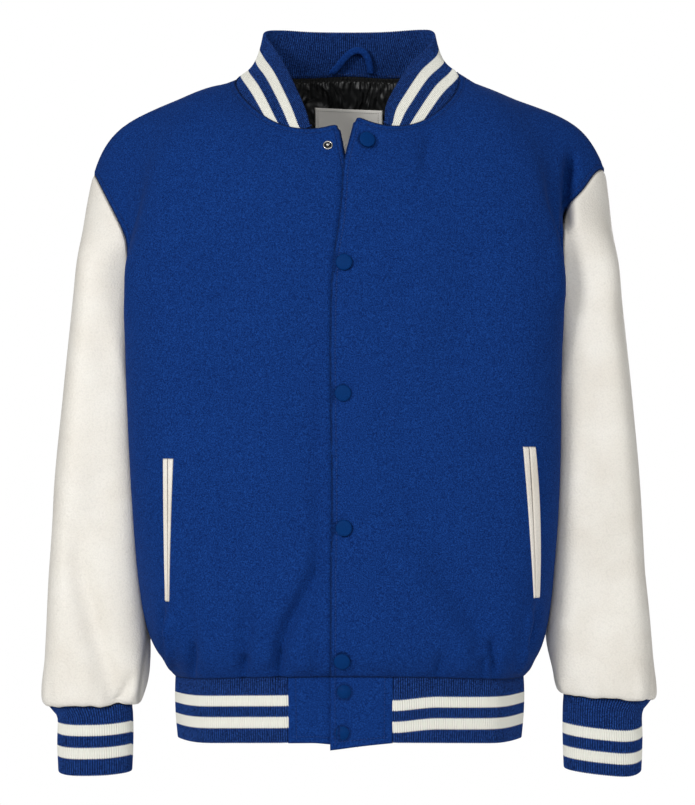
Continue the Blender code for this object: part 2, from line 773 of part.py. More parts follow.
def hanger_loop(collar_piece):
    """A flat tube bent into a loop in front of the collar's inside."""
    tree = tree_of(collar_piece)
    left, right = LOOP["left"], LOOP["right"]
    feet = [cast(tree, x, LOOP["foot_z"] + 3, -20, 1)[0][1] - TRIM_GAP - LOOP_WALL / 2
            for x in (left, right)]
    steps = 14
    centre = []
    for step in range(steps + 1):
        share = step / steps
        lift = math.sin(math.pi * share) ** 0.8
        x = left + (right - left) * share
        x += (LOOP["apex_x"] - (left + right) / 2) * lift
        y = feet[0] * (1 - share) + feet[1] * share - LOOP["bow"] * lift
        z = LOOP["foot_z"] + (LOOP["apex_z"] - LOOP["foot_z"]) * lift
        centre.append(np.array((x, y, z)))
    points = []
    faces = []
    for step, spot in enumerate(centre):
        ahead = centre[min(step + 1, steps)] - centre[max(step - 1, 0)]
        ahead /= np.linalg.norm(ahead)
        face_way = np.array((0, -1, 0)) - ahead * np.dot((0, -1, 0), ahead)
        face_way /= np.linalg.norm(face_way)
        side_way = np.cross(ahead, face_way)
        for across, out in ((-1, -1), (1, -1), (1, 1), (-1, 1)):
            points.append(spot + side_way * across * LOOP_WIDTH / 2
                          + face_way * out * LOOP_WALL / 2)
    for step in range(steps):
        for corner in range(4):
            after = (corner + 1) % 4
            faces.append((4 * step + corner, 4 * step + 4 + corner,
                          4 * step + 4 + after, 4 * step + after))
    faces.append((0, 1, 2, 3))
    last = 4 * steps
    faces.append((last + 3, last + 2, last + 1, last))
    return add_piece("hanger_loop", "wool", points, faces)


def seat(tree, x, z, radius):
    """Where a round trim rests on a panel: its middle, and the way it faces."""
    middle, normal = cast(tree, x, z, -400, 1)
    lift = 0.0
    for step in range(12):
        angle = math.radians(30 * step)
        near = cast(tree, x + radius * math.cos(angle), z + radius * math.sin(angle), -400, 1)[0]
        lift = max(lift, float(np.dot(near - middle, normal)))
    return middle + normal * (lift + REST_GAP), normal


def turned(name, kind, middle, normal, profile, sides=16):
    """A solid of revolution about a panel's normal, from (radius, height) pairs."""
    across = np.cross(normal, (0, 0, 1))
    across /= np.linalg.norm(across)
    upwards = np.cross(across, normal)
    points = []
    for radius, height in profile:
        for step in range(sides):
            angle = 2 * math.pi * step / sides
            way = across * math.cos(angle) + upwards * math.sin(angle)
            points.append(middle + way * radius + normal * height)
    faces = [tuple(range(sides))]
    for row in range(len(profile) - 1):
        for step in range(sides):
            after = (step + 1) % sides
            faces.append((row * sides + step, (row + 1) * sides + step,
                          (row + 1) * sides + after, row * sides + after))
    top = (len(profile) - 1) * sides
    faces.append(tuple(top + step for step in reversed(range(sides))))
    return add_piece(name, kind, points, faces)


def snap_caps(front, tab):
    """Cloth-covered caps down the upper front and its tab."""
    profile = [(CAP_RADIUS - 1.2, 0), (CAP_RADIUS, 0.7), (CAP_RADIUS - 0.9, CAP_HEIGHT - 0.5),
               (CAP_RADIUS - 3.5, CAP_HEIGHT)]
    number = 1
    for piece, places in ((front, CAPS), (tab, TAB_CAPS)):
        tree = tree_of(piece)
        for x, z in places:
            middle, normal = seat(tree, x, z, CAP_RADIUS)
            turned("snap_cap_%d" % number, "cap", middle, normal, profile)
            number += 1


def snap_stud(front):
    """The bare stud on the under front at the neck, where the top snap is open."""
    middle, normal = seat(tree_of(front), STUD[0], STUD[1], 5.0)
    profile = [(5.0, 0), (5.0, 1.0), (2.2, 1.3), (2.0, 3.2), (1.2, 3.6)]
    turned("snap_stud", "steel", middle, normal, profile, sides=12)


def welts(fronts):
    """Two slim leather strips along each pocket's slit."""
    steps = 12
    for row in WELTS:
        tree = tree_of(fronts[row.side])
        side_name = "right" if row.side == RIGHT else "left"
        for half, strip_name in ((-1, "front"), (1, "side")):
            under = []
            over = []
            for step in range(steps + 1):
                share = step / steps
                width = row.top_width + (row.bottom_width - row.top_width) * share
                bend = 4 * share * (1 - share)
                line = row.top_x + (row.bottom_x - row.top_x) * share
                line += bend * (row.mid_x - (row.top_x + row.bottom_x) / 2)
                z = row.top_z + (row.bottom_z - row.top_z) * share
                near = line + half * row.slit / 2
                far = near + half * width
                met = [cast(tree, row.side * x, z, -400, 1) for x in (near, far)]
                under.append([spot + normal * TRIM_GAP for spot, normal in met])
                over.append([spot + normal * (TRIM_GAP + WELT_WALL) for spot, normal in met])
            flip = (half == 1) == (row.side == LEFT)
            slab("welt_%s_%s" % (side_name, strip_name), "leather", under, over, flip)


def build():
    clear_scene()
    surface = smooth_surface(1)
    fronts = {
        RIGHT: panel(surface, "front_right", "wool", WOOL_WALL),
        LEFT: panel(surface, "front_left", "wool", WOOL_WALL),
    }
    panel(surface, "back", "wool", WOOL_WALL)
    panel(surface, "sleeve_right", "leather", LEATHER_WALL)
    panel(surface, "sleeve_left", "leather", LEATHER_WALL)
    hem = hem_pieces(surface)
    cuff(surface, RIGHT)
    cuff(surface, LEFT)
    collar_piece = collar(surface)
    lining_piece = lining(surface)
    label(lining_piece)
    hanger_loop(collar_piece)
    snap_caps(fronts[LEFT], hem["hem_tab_left"])
    snap_stud(fronts[RIGHT])
    welts(fronts)


build()
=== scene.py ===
# %% [markdown]
# # A varsity jacket, filled out as worn
#
# The real jacket is cut from a few flat pieces: wool fronts and back, leather sleeves, and
# rib-knit bands at the neck, the wrists and the hem.  All of them meet at seams, so this
# lesson draws one smooth surface for the whole garment first and cuts the pieces out of it.
# Everything below is in millimetres until a mesh is made, because that is how a pattern
# cutter thinks.  +Z is up, the front faces -Y and +X is the wearer's left.

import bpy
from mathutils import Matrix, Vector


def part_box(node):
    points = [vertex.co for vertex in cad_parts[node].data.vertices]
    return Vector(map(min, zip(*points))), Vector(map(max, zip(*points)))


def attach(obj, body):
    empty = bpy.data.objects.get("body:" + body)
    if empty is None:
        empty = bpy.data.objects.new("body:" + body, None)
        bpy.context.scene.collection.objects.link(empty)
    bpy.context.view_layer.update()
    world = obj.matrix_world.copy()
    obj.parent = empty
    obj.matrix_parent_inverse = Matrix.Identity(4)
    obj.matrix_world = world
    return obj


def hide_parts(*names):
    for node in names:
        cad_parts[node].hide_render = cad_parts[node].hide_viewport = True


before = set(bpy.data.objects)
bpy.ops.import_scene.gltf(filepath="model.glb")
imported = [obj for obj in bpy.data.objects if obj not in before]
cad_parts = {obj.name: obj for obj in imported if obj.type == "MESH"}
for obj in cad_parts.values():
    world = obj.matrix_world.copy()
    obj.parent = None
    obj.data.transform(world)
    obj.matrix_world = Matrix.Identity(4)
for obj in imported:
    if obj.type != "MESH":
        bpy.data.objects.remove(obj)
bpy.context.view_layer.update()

import math
from collections import namedtuple

import bmesh
import bpy
import numpy as np
from mathutils import Matrix, Vector, noise
from mathutils.bvhtree import BVHTree
from mathutils.kdtree import KDTree

MM = 0.001
BODY = "root"                  # the jacket is one body
RIGHT, LEFT = -1, 1            # the wearer's sides, as signs of X
SIDES = {RIGHT: "right", LEFT: "left"}
FAR = 99.0                     # the distance to a seam where there is none near

# %% [markdown]
# ## Small tools
#
# A mesh is made from a list of points and a list of faces.  One function does that for
# every piece, and turns millimetres into metres on the way.  A second one stores a number
# or a vector at each point, which a material or a Geometry Nodes tree can read later by
# its name.

# %% Turn points and faces into an object
def linked(name, data):
    """A new object in the scene, for a mesh, a lamp or a camera."""
    made = bpy.data.objects.new(name, data)
    bpy.context.scene.collection.objects.link(made)
    return made


def add_mesh(name, points, faces, materials):
    """A smooth-shaded object from points in millimetres."""
    mesh = bpy.data.meshes.new(name)
    mesh.from_pydata((np.asarray(points, float) * MM).tolist(), [], faces)
    mesh.update()
    mesh.shade_smooth()
    for made in materials:
        mesh.materials.append(made)
    return linked(name, mesh)


def store(piece, name, values):
    """Keep a number or a vector for each point of a piece."""
    values = np.asarray(values, np.float32)
    kind, field = ("FLOAT", "value") if values.ndim == 1 else ("FLOAT_VECTOR", "vector")
    attribute = piece.data.attributes.new(name, kind, "POINT")
    attribute.data.foreach_set(field, values.ravel())


def triangles(piece):
    return sum(len(face.vertices) - 2 for face in piece.data.polygons)


# %% Smooth steps and rounded falls, used by the folds and the seams
def smooth_step(value, low, high):
    share = np.clip((value - low) / (high - low), 0, 1)
    return share * share * (3 - 2 * share)


def unit(vectors):
    return vectors / np.linalg.norm(vectors, axis=-1, keepdims=True)

# %% [markdown]
# ## The jacket's measurements
#
# A tailor would take these with a tape: how wide and how deep the body is at six heights,
# where the front edges run, where the neckline, the shoulder seam and the armhole lie, and
# how thick the sleeve is from the armhole to the wrist.  The tables began as those that the
# solid model was made from.  A few rows have moved since by up to about 10 mm, at the
# armholes, the wrists and the sleeves' inner fronts, where the cloth lies better so.

# ---- the body below the armholes, one row for each level section ----------------------
Level = namedtuple("Level", "z half_right half_left front back recess side_y wide_y dip")
LEVELS = [
    Level(-622, 179.5, 184.0, -118, 106, 2, 0, -14, 8),
    Level(-605, 193.0, 196.0, -130, 118, 4, -2, -24, 7),
    Level(-568, 209.5, 208.5, -135, 124, 9, -4, -40, 4),
    Level(-490, 219.5, 216.0, -137, 127, 20, -8, -54, 0),
    Level(-385, 225.5, 219.5, -138, 129, 26, -10, -62, 0),
    Level(-285, 229.0, 222.5, -137, 130, 30, -10, -64, 0),
]
FRONT_ANGLES = [21, 39, 60, 90]            # columns 1 to 4, from the front's middle
BACK_ANGLES = [90, 74, 57, 38, 18]         # columns 0 to 4, from the side seam
SQUARENESS = 0.85                          # below 1 the sections are fuller than ellipses

# ---- the front edges: x of each edge and of column 1, which is the tab's edge below ----
Edge = namedtuple("Edge", "over under quarter_right quarter_left")
EDGES = [
    Edge(-23.5, 10, 62, 47),
    Edge(-23.5, 10, 64, 50),
    Edge(-23.0, 10, 68, 58),
    Edge(-22.5, 10, 74, 70),
    Edge(-21.5, 10, 79, 77),
    Edge(-20.5, 10, 81, 80),
]
YOKE_EDGES = [Edge(-18.5, 10, 80, 79), Edge(-12.5, 8, 78, 77), Edge(-3.0, 0, 75, 75)]
UNDERLAP = 6.9                 # how far the under front lies inside the upper one

# ---- the yoke: neckline and shoulder seam, and the rows between them and the pit -------
Point = namedtuple("Point", "x y z")
OVER_CORNER = Point(8.0, -93, -52)
UNDER_CORNER = Point(-8.5, -92, -60)
NECK_FRONT = Point(76, -80, -53.5)
NECK_SIDE = Point(117, -12, -3.5)
NECK_BACK = Point(64, 66, 7)
NECK_NAPE = Point(0, 78, 9.5)
SHOULDER_MIDDLE = Point(175, -9, -26)
SHOULDER_OUTER = Point(235, -7, -54)
LEFT_SHOULDER_LIFT = Point(2.0, 0, 1.5)    # the left shoulder stands this much out and up
YOKE_STEPS = [0.72, 0.43, 0.18]            # rows up from the pit: share of the drop
NECK_ARCH = 1.7                            # how round the rows roll over to the top
FRONT_ARCH = 2.0
BACK_ARCH = 2.6
YOKE_BULGE = [(25, 3), (5, 5), (1, 2)]     # column 4 outwards, in front and behind

# ---- the armhole, one row for each of its eight points --------------------------------
Armhole = namedtuple("Armhole", "name x y z")
LIFT_REACH = 90.0                          # the left shoulder's lift fades out over this drop
ARMHOLE = [
    Armhole("top", 267, 3, -104),
    Armhole("front_3", 239, -44, -153),
    Armhole("front_2", 226.5, -50, -186),
    Armhole("front_1", 206, -36, -250),
    Armhole("pit", 199, -6, -285),
    Armhole("back_1", 207, 42, -248),
    Armhole("back_2", 224, 62, -197),
    Armhole("back_3", 247, 45, -147),
]
LEFT_ARMHOLE = [Armhole("front_3", 226, -46, -139), Armhole("front_2", 224, -50, -195)]

# ---- the sleeves, one row for each ring from the armhole to the cuff seam -------------
Ring = namedtuple("Ring", "outer_x outer_z outer_y inner_x inner_z inner_y front back")
SLEEVE = [
    Ring(279.5, -172, 4, 209, -316, 14, -58, 84),
    Ring(287.5, -232, 2, 212, -350, 22, -60, 88),
    Ring(295.0, -300, 0, 213, -392, 24, -61, 86),
    Ring(301.5, -370, -2, 212, -440, 22, -61, 80),
    Ring(307.5, -440, -4, 211, -492, 16, -60, 71),
    Ring(312.5, -510, -6, 208.5, -545, 10, -58, 62),
]
SLEEVE_ENDS = {
    RIGHT: [
        Ring(316.0, -575, -8, 205.5, -592, 4, -56, 53),
        Ring(319.5, -632, -9, 209.5, -636, -2, -53, 44),
        Ring(318.5, -656, -8, 216.5, -655, -4, -49, 38),
        Ring(309.0, -660, -6, 225.0, -659, -6, -42, 30),
    ],
    LEFT: [
        Ring(317.5, -572, -8, 207.0, -590, 4, -56, 53),
        Ring(321.0, -625, -9, 213.5, -622, -2, -53, 44),
        Ring(321.5, -650, -8, 220.0, -643, -4, -49, 38),
        Ring(314.0, -654, -6, 226.0, -646, -6, -42, 30),
    ],
}
SLEEVE_SQUARENESS = 0.76
INNER_FRONT = 3                            # the ring point where the sleeve tucks in behind the body
TUCKED_IN, TUCKED_BACK = 4, 10             # how far that point lies inside the body's edge
TUCKED_MOST = 1.85                         # and how far at most from the outer side, in half widths

# ---- ribs, collar and trims -------------------------------------------------------------
HEM_HEIGHT = 67.0
HEM_SIDE_RISE = 5.0                        # how much shorter the band is at its sides
TAB_DROP = 7.5                             # how far the tabs' front corners hang lower
HEM_ROWS = [0, 0.25, 0.6, 1.0]             # shares of the band's height
TAB_STEPS = 2                              # the tabs' links of the hem's edge
HEM_TAPER = 0.985
CUFF_HEIGHTS = {RIGHT: 71.5, LEFT: 80.5}   # the right one is pushed further up inside
CUFF_TAPER = 0.985
CUFF_ROWS = [0, 0.16, 0.55, 1.0]           # shares of the cuff's height
CUFF_NECK = 5.5                            # how far its outer side draws in below the seam

# %% [markdown]
# ## From measurements to points
#
# Each helper below answers one question about the tables: where is the front at this
# height, where does the sleeve's fourth ring pass.  The yoke's rows are arches that roll
# from the chest up to the shoulder seam, because cloth over a shoulder never makes a
# corner there.

# %% Points of the body sections
def power(value, exponent):
    return math.copysign(abs(value) ** exponent, value)


def dipped(level, x):
    """The height of a level section at an x: it hangs lower at the sides."""
    return level.z - level.dip * (x / level.half_left) ** 2


def half_width(level, side):
    return level.half_right if side == RIGHT else level.half_left


def edge_x(edge, side):
    return edge.over if side == LEFT else edge.under


def front_point(level, side, column):
    """A point of a level section's front: columns 1 to 4, and 5 at the side seam."""
    half = half_width(level, side)
    if column == 5:
        x = half - level.recess
        return Point(side * x, level.side_y, dipped(level, x))
    angle = math.radians(FRONT_ANGLES[column - 1])
    x = half * power(math.sin(angle), SQUARENESS)
    y = level.wide_y + (level.front - level.wide_y) * power(math.cos(angle), SQUARENESS)
    return Point(side * x, y, dipped(level, x))


def front_depth(level, x):
    """How far forward a level section reaches at an x near the middle."""
    half = 0.5 * (level.half_right + level.half_left)
    sine = min(abs(x) / half, 1) ** (1 / SQUARENESS)
    cosine = math.sqrt(1 - sine * sine)
    return level.wide_y + (level.front - level.wide_y) * cosine ** SQUARENESS


def back_point(level, side, column):
    half = half_width(level, side) - level.recess
    angle = math.radians(BACK_ANGLES[column])
    x = half * power(math.cos(angle), SQUARENESS)
    y = level.side_y + (level.back - level.side_y) * power(math.sin(angle), SQUARENESS)
    return Point(side * x if column else 0.0, y, dipped(level, x) if column else level.z)


def edge_point(edge, side, level):
    """The front edge's point, with the right front tucked under the left one."""
    x = edge_x(edge, side)
    tuck = UNDERLAP if side == RIGHT else 0.0
    return Point(x, front_depth(level, x) + tuck, dipped(level, x))


def quarter_point(edge, side, level):
    x = edge.quarter_right if side == RIGHT else edge.quarter_left
    return Point(side * x, front_depth(level, x), dipped(level, x))


def arch(top, foot, share, roundness):
    """A point part of the way down from the top of a yoke column to its foot."""
    across = (1 - (1 - share) ** roundness) ** (1 / roundness)
    return Point(top.x + (foot.x - top.x) * across,
                 top.y + (foot.y - top.y) * across,
                 top.z + (foot.z - top.z) * share)


def mirrored(point, side):
    return Point(side * point.x, point.y, point.z)


def armhole_point(name, side):
    rows = LEFT_ARMHOLE + ARMHOLE if side == LEFT else ARMHOLE
    found = next(row for row in rows if row.name == name)
    return shoulder_lifted(Point(found.x, found.y, found.z), side)


def shoulder_lifted(point, side):
    """A shoulder point on its own side, lifted on the left by how high up it lies."""
    share = min(max(1 + (point.z - ARMHOLE[0].z) / LIFT_REACH, 0), 1) if side == LEFT else 0
    return Point(side * (point.x + LEFT_SHOULDER_LIFT.x * share), point.y,
                 point.z + LEFT_SHOULDER_LIFT.z * share)


def between(one, two, outwards, forwards, side):
    return Point(0.5 * (one.x + two.x) + side * outwards,
                 0.5 * (one.y + two.y) + forwards,
                 0.5 * (one.z + two.z))


def yoke_rows(rows, tops, side, behind):
    """Rows of six from the hem up, with the yoke's rows added between the pit and the tops."""
    tops = tops + [mirrored(NECK_SIDE, side), mirrored(SHOULDER_MIDDLE, side),
                   shoulder_lifted(SHOULDER_OUTER, side), armhole_point("top", side)]
    pit = rows[-1]
    rounded = BACK_ARCH if behind else FRONT_ARCH
    for index, share in enumerate(YOKE_STEPS):
        row = [arch(top, foot, share, roundness)
               for top, foot, roundness in zip(tops, pit, (NECK_ARCH, NECK_ARCH, rounded, rounded))]
        if not behind:
            row[0] = row[0]._replace(x=edge_x(YOKE_EDGES[index], side))
        seam = armhole_point("%s_%d" % ("back" if behind else "front", index + 1), side)
        outwards = YOKE_BULGE[index][behind]
        row.append(between(row[3], seam, outwards, outwards if behind else -0.2 * outwards, side))
        rows.append(row + [seam])
    return rows + [tops]


def front_columns(side):
    """The front's points, from its edge out to the side seam and the armhole."""
    rows = [[edge_point(edge, side, level), quarter_point(edge, side, level)]
            + [front_point(level, side, column) for column in (2, 3, 4, 5)]
            for level, edge in zip(LEVELS, EDGES)]
    corner = OVER_CORNER if side == LEFT else UNDER_CORNER
    return yoke_rows(rows, [corner, mirrored(NECK_FRONT, side)], side, behind=False)


def back_columns(side):
    """The back's points, from its middle out to the side seam and the armhole."""
    rows = [[back_point(level, side, column) for column in range(5)] + [front_point(level, side, 5)]
            for level in LEVELS]
    return yoke_rows(rows, [NECK_NAPE, mirrored(NECK_BACK, side)], side, behind=True)


def body_edge(side, z):
    """How far out the body reaches at a height, for the sleeve that hangs behind its edge."""
    return float(np.interp(z, [level.z for level in LEVELS],
                           [half_width(level, side) for level in LEVELS]))


def sleeve_rings(side):
    """Rings of eight points, in the armhole's order: top, front, pit, back."""
    rings = [[armhole_point(row.name, side) for row in ARMHOLE]]
    for ring in SLEEVE + SLEEVE_ENDS[side]:
        points = []
        for step in range(8):
            angle = math.radians(45 * step)
            along = power(math.cos(angle), SLEEVE_SQUARENESS)
            across = power(math.sin(angle), SLEEVE_SQUARENESS)
            half = (ring.outer_x - ring.inner_x) / 2
            x = (ring.outer_x + ring.inner_x) / 2 + along * half
            z = (ring.outer_z + ring.inner_z) / 2 + along * (ring.outer_z - ring.inner_z) / 2
            y = (ring.front + ring.back) / 2 + along * (ring.outer_y - ring.inner_y) / 2
            y -= across * (ring.back - ring.front) / 2
            if step == INNER_FRONT:
                x = max(body_edge(side, z) - TUCKED_IN, ring.outer_x - TUCKED_MOST * half)
                y = ring.front + TUCKED_BACK
            points.append(Point(side * x, y, z))
        rings.append(points)
    return rings

# %% [markdown]
# ## One smooth surface
#
# A cage of four-sided faces goes through the points, and a Subdivision Surface modifier
# rounds it.  That modifier normally pulls the surface inside its cage.  So the cage is
# pushed out first, by solving one small set of equations, until the rounded surface passes
# through the measured points exactly.  Each face remembers which panel it belongs to, as
# its material number, and the modifier hands that down to the small faces.

# %% A cage of four-sided faces, each tagged with its panel
class Cage:
    """Points and four-sided faces, each face tagged with its panel."""

    def __init__(self):
        self.points = []
        self.faces = []
        self.panels = []
        self.known = {}

    def point(self, place):
        key = tuple(round(value, 3) for value in place)
        if key not in self.known:
            self.known[key] = len(self.points)
            self.points.append(tuple(place))
        return self.known[key]

    def strip(self, lower, upper, panel, flip, closed=False):
        """Faces between two rows of points."""
        count = len(lower)
        for step in range(count if closed else count - 1):
            after = (step + 1) % count
            corners = [lower[step], lower[after], upper[after], upper[step]]
            face = [self.point(corner) for corner in corners]
            self.faces.append(face[::-1] if flip else face)
            self.panels.append(panel)


PANELS = ["front_right", "front_left", "back", "sleeve_right", "sleeve_left"]


def jacket_cage():
    cage = Cage()
    for side in (RIGHT, LEFT):
        name = SIDES[side]
        front, back, rings = front_columns(side), back_columns(side), sleeve_rings(side)
        for lower, upper in zip(front, front[1:]):
            cage.strip(lower, upper, PANELS.index("front_" + name), side == RIGHT)
        for lower, upper in zip(back, back[1:]):
            cage.strip(lower, upper, PANELS.index("back"), side == LEFT)
        for upper, lower in zip(rings, rings[1:]):
            cage.strip(lower, upper, PANELS.index("sleeve_" + name), side == LEFT, closed=True)
    return cage


def neighbours(cage):
    """For each point: its edge neighbours, its faces' far corners and its border neighbours."""
    count = len(cage.points)
    edges = [set() for _ in range(count)]
    corners = [[] for _ in range(count)]
    uses = {}
    for face in cage.faces:
        for step in range(4):
            here, after = face[step], face[(step + 1) % 4]
            edges[here].add(after)
            edges[after].add(here)
            corners[here].append(face[(step + 2) % 4])
            key = (min(here, after), max(here, after))
            uses[key] = uses.get(key, 0) + 1
    border = [[] for _ in range(count)]
    for (one, two), times in uses.items():
        if times == 1:
            border[one].append(two)
            border[two].append(one)
    return edges, corners, border


def hold_sections(cage):
    """Move the cage's points so that its smooth surface passes through the sections."""
    edges, corners, border = neighbours(cage)
    count = len(cage.points)
    weights = np.zeros((count, count))
    for index in range(count):
        valence = len(edges[index])
        if border[index] and len(corners[index]) == 1:
            weights[index, index] = 1
        elif border[index]:
            weights[index, index] = 4 / 6
            for other in border[index]:
                weights[index, other] = 1 / 6
        else:
            total = valence * (valence + 5)
            weights[index, index] = valence * valence / total
            for other in edges[index]:
                weights[index, other] += 4 / total
            for other in corners[index]:
                weights[index, other] += 1 / total
    return np.linalg.solve(weights, np.array(cage.points))

# %% Round the cage, and read the result back as arrays
SURFACE_LEVEL = 4              # faces of about 3 mm, fine enough for a crease


def subdivided(spots, own_faces, levels, tags=None, **settings):
    """What a Subdivision Surface modifier makes of a mesh: points, faces and their tags."""
    mesh = bpy.data.meshes.new("guide")
    mesh.from_pydata(spots.tolist(), [], own_faces)
    if tags:
        for _ in PANELS:
            mesh.materials.append(None)
        mesh.polygons.foreach_set("material_index", tags)
    guide = linked("guide", mesh)
    divide = guide.modifiers.new("divide", "SUBSURF")
    divide.levels = divide.render_levels = levels
    for setting, value in settings.items():
        setattr(divide, setting, value)
    arrays = mesh_arrays(guide.evaluated_get(bpy.context.evaluated_depsgraph_get()).to_mesh())
    bpy.data.objects.remove(guide, do_unlink=True)
    bpy.data.meshes.remove(mesh)
    return arrays


def mesh_arrays(mesh):
    """A mesh of four-sided faces as arrays."""
    points = np.empty(len(mesh.vertices) * 3, np.float32)
    faces = np.empty(len(mesh.loops), np.int32)
    panels = np.empty(len(mesh.polygons), np.int32)
    mesh.vertices.foreach_get("co", points)
    mesh.loops.foreach_get("vertex_index", faces)
    mesh.polygons.foreach_get("material_index", panels)
    return points.reshape(-1, 3).astype(float), faces.reshape(-1, 4), panels


def point_normals(points, faces):
    """Outward unit vectors, each the mean of the faces around its point."""
    across = points[faces[:, 2]] - points[faces[:, 0]]
    upwards = points[faces[:, 3]] - points[faces[:, 1]]
    ways = np.cross(across, upwards)
    normals = np.zeros_like(points)
    for corner in range(4):
        np.add.at(normals, faces[:, corner], ways)
    return unit(normals)


# places where the cage is too coarse: the middle, the reach and the move of a soft push
NUDGES = [
    ((118, -12, -3), 17, (0, 0, 6.5)),
    ((225, -54, -160), 22, (3.5, 0, 0)),
    ((247, -42, -113), 22, (1.5, 0, -7.5)),
    ((262, -8, -106), 22, (1.0, 0, 4.5)),
    ((226, -62, -240), 24, (-2.5, 0, 0)),
    ((-227, -60, -202), 25, (-3.5, 0, 0)),
]

# how far the overlap's edge, and the underlap with it, leans to the middle at each height
EDGE_LEAN = {
    -690: 4.5, -614: 5.6, -520: 5.0, -462: 5.8, -401: 5.0, -371: 4.0, -310: 2.7, -220: 2.0,
    -188: 2.5, -158: 5.0, -128: 4.0, -105: 0.5, -90: 0.0,
}
LEAN_MIDDLE, LEAN_REACH = -22, 26          # the x where it leans most, and how far that carries

cage = jacket_cage()
smooth_points, faces, panels = subdivided(hold_sections(cage), cage.faces, SURFACE_LEVEL, cage.panels,
                                          boundary_smooth="PRESERVE_CORNERS")
smooth_normals = point_normals(smooth_points, faces)
lean = np.interp(smooth_points[:, 2], list(EDGE_LEAN), list(EDGE_LEAN.values()))
near = np.exp(-((smooth_points[:, 0] - LEAN_MIDDLE) / LEAN_REACH) ** 2) * (smooth_points[:, 1] < 0)
smooth_points[:, 0] += lean * near
for middle, reach, move in NUDGES:
    gaps = np.linalg.norm(smooth_points - middle, axis=1)
    smooth_points += np.exp(-(gaps / reach) ** 2)[:, None] * move
print("Whole garment:", len(smooth_points), "points,", len(faces), "faces")

# %% [markdown]
# ## Where the seams run
#
# A seam is an edge that two panels share, and an open edge is one that only one face
# uses.  Finding them all in one pass tells the later steps where to sink the cloth into
# the seam, where a row of topstitching goes, and where a knitted band is sewn on.

# %% Sort the panels' edges into seams and open edges
def find_borders():
    """For each pair of panels, or a panel and None, the edges between them."""
    owners = {}
    for number, face in enumerate(faces.tolist()):
        for step in range(4):
            here, after = face[step], face[(step + 1) % 4]
            key = (here, after) if here < after else (after, here)
            owners.setdefault(key, []).append(panels[number])
    borders = {}
    for edge, tags in owners.items():
        if len(tags) == 1:
            borders.setdefault((PANELS[tags[0]], None), []).append(edge)
        elif tags[0] != tags[1]:
            pair = tuple(sorted(PANELS[tag] for tag in tags))
            borders.setdefault(pair, []).append(edge)
    return borders


borders = find_borders()
for pair, edges in borders.items():
    print(pair, len(edges), "edges")


# %% Follow edges into lines
def chain_edges(edges):
    """Edges joined end to end, as lists of point numbers.  A closed line repeats its start."""
    links = {}
    for here, after in edges:
        links.setdefault(here, []).append(after)
        links.setdefault(after, []).append(here)
    chains = []
    ends = [index for index in links if len(links[index]) == 1]
    left = set(links)
    for start in ends + sorted(links):
        if start not in left:
            continue
        chain = [start]
        left.discard(start)
        while True:
            onward = [index for index in links[chain[-1]] if index in left]
            if not onward:
                break
            chain.append(onward[0])
            left.discard(onward[0])
        if len(chain) > 2 and chain[-1] in links[start]:
            chain.append(start)
        chains.append(chain)
    return chains


def open_edges(panel_names, low, high):
    """Open edges of some panels with both ends between two heights."""
    found = []
    for (panel, other), edges in borders.items():
        if other is None and panel in panel_names:
            for here, after in edges:
                heights = (smooth_points[here][2], smooth_points[after][2])
                if low <= min(heights) and max(heights) <= high:
                    found.append((here, after))
    return found


BODY_PANELS = ["front_right", "front_left", "back"]
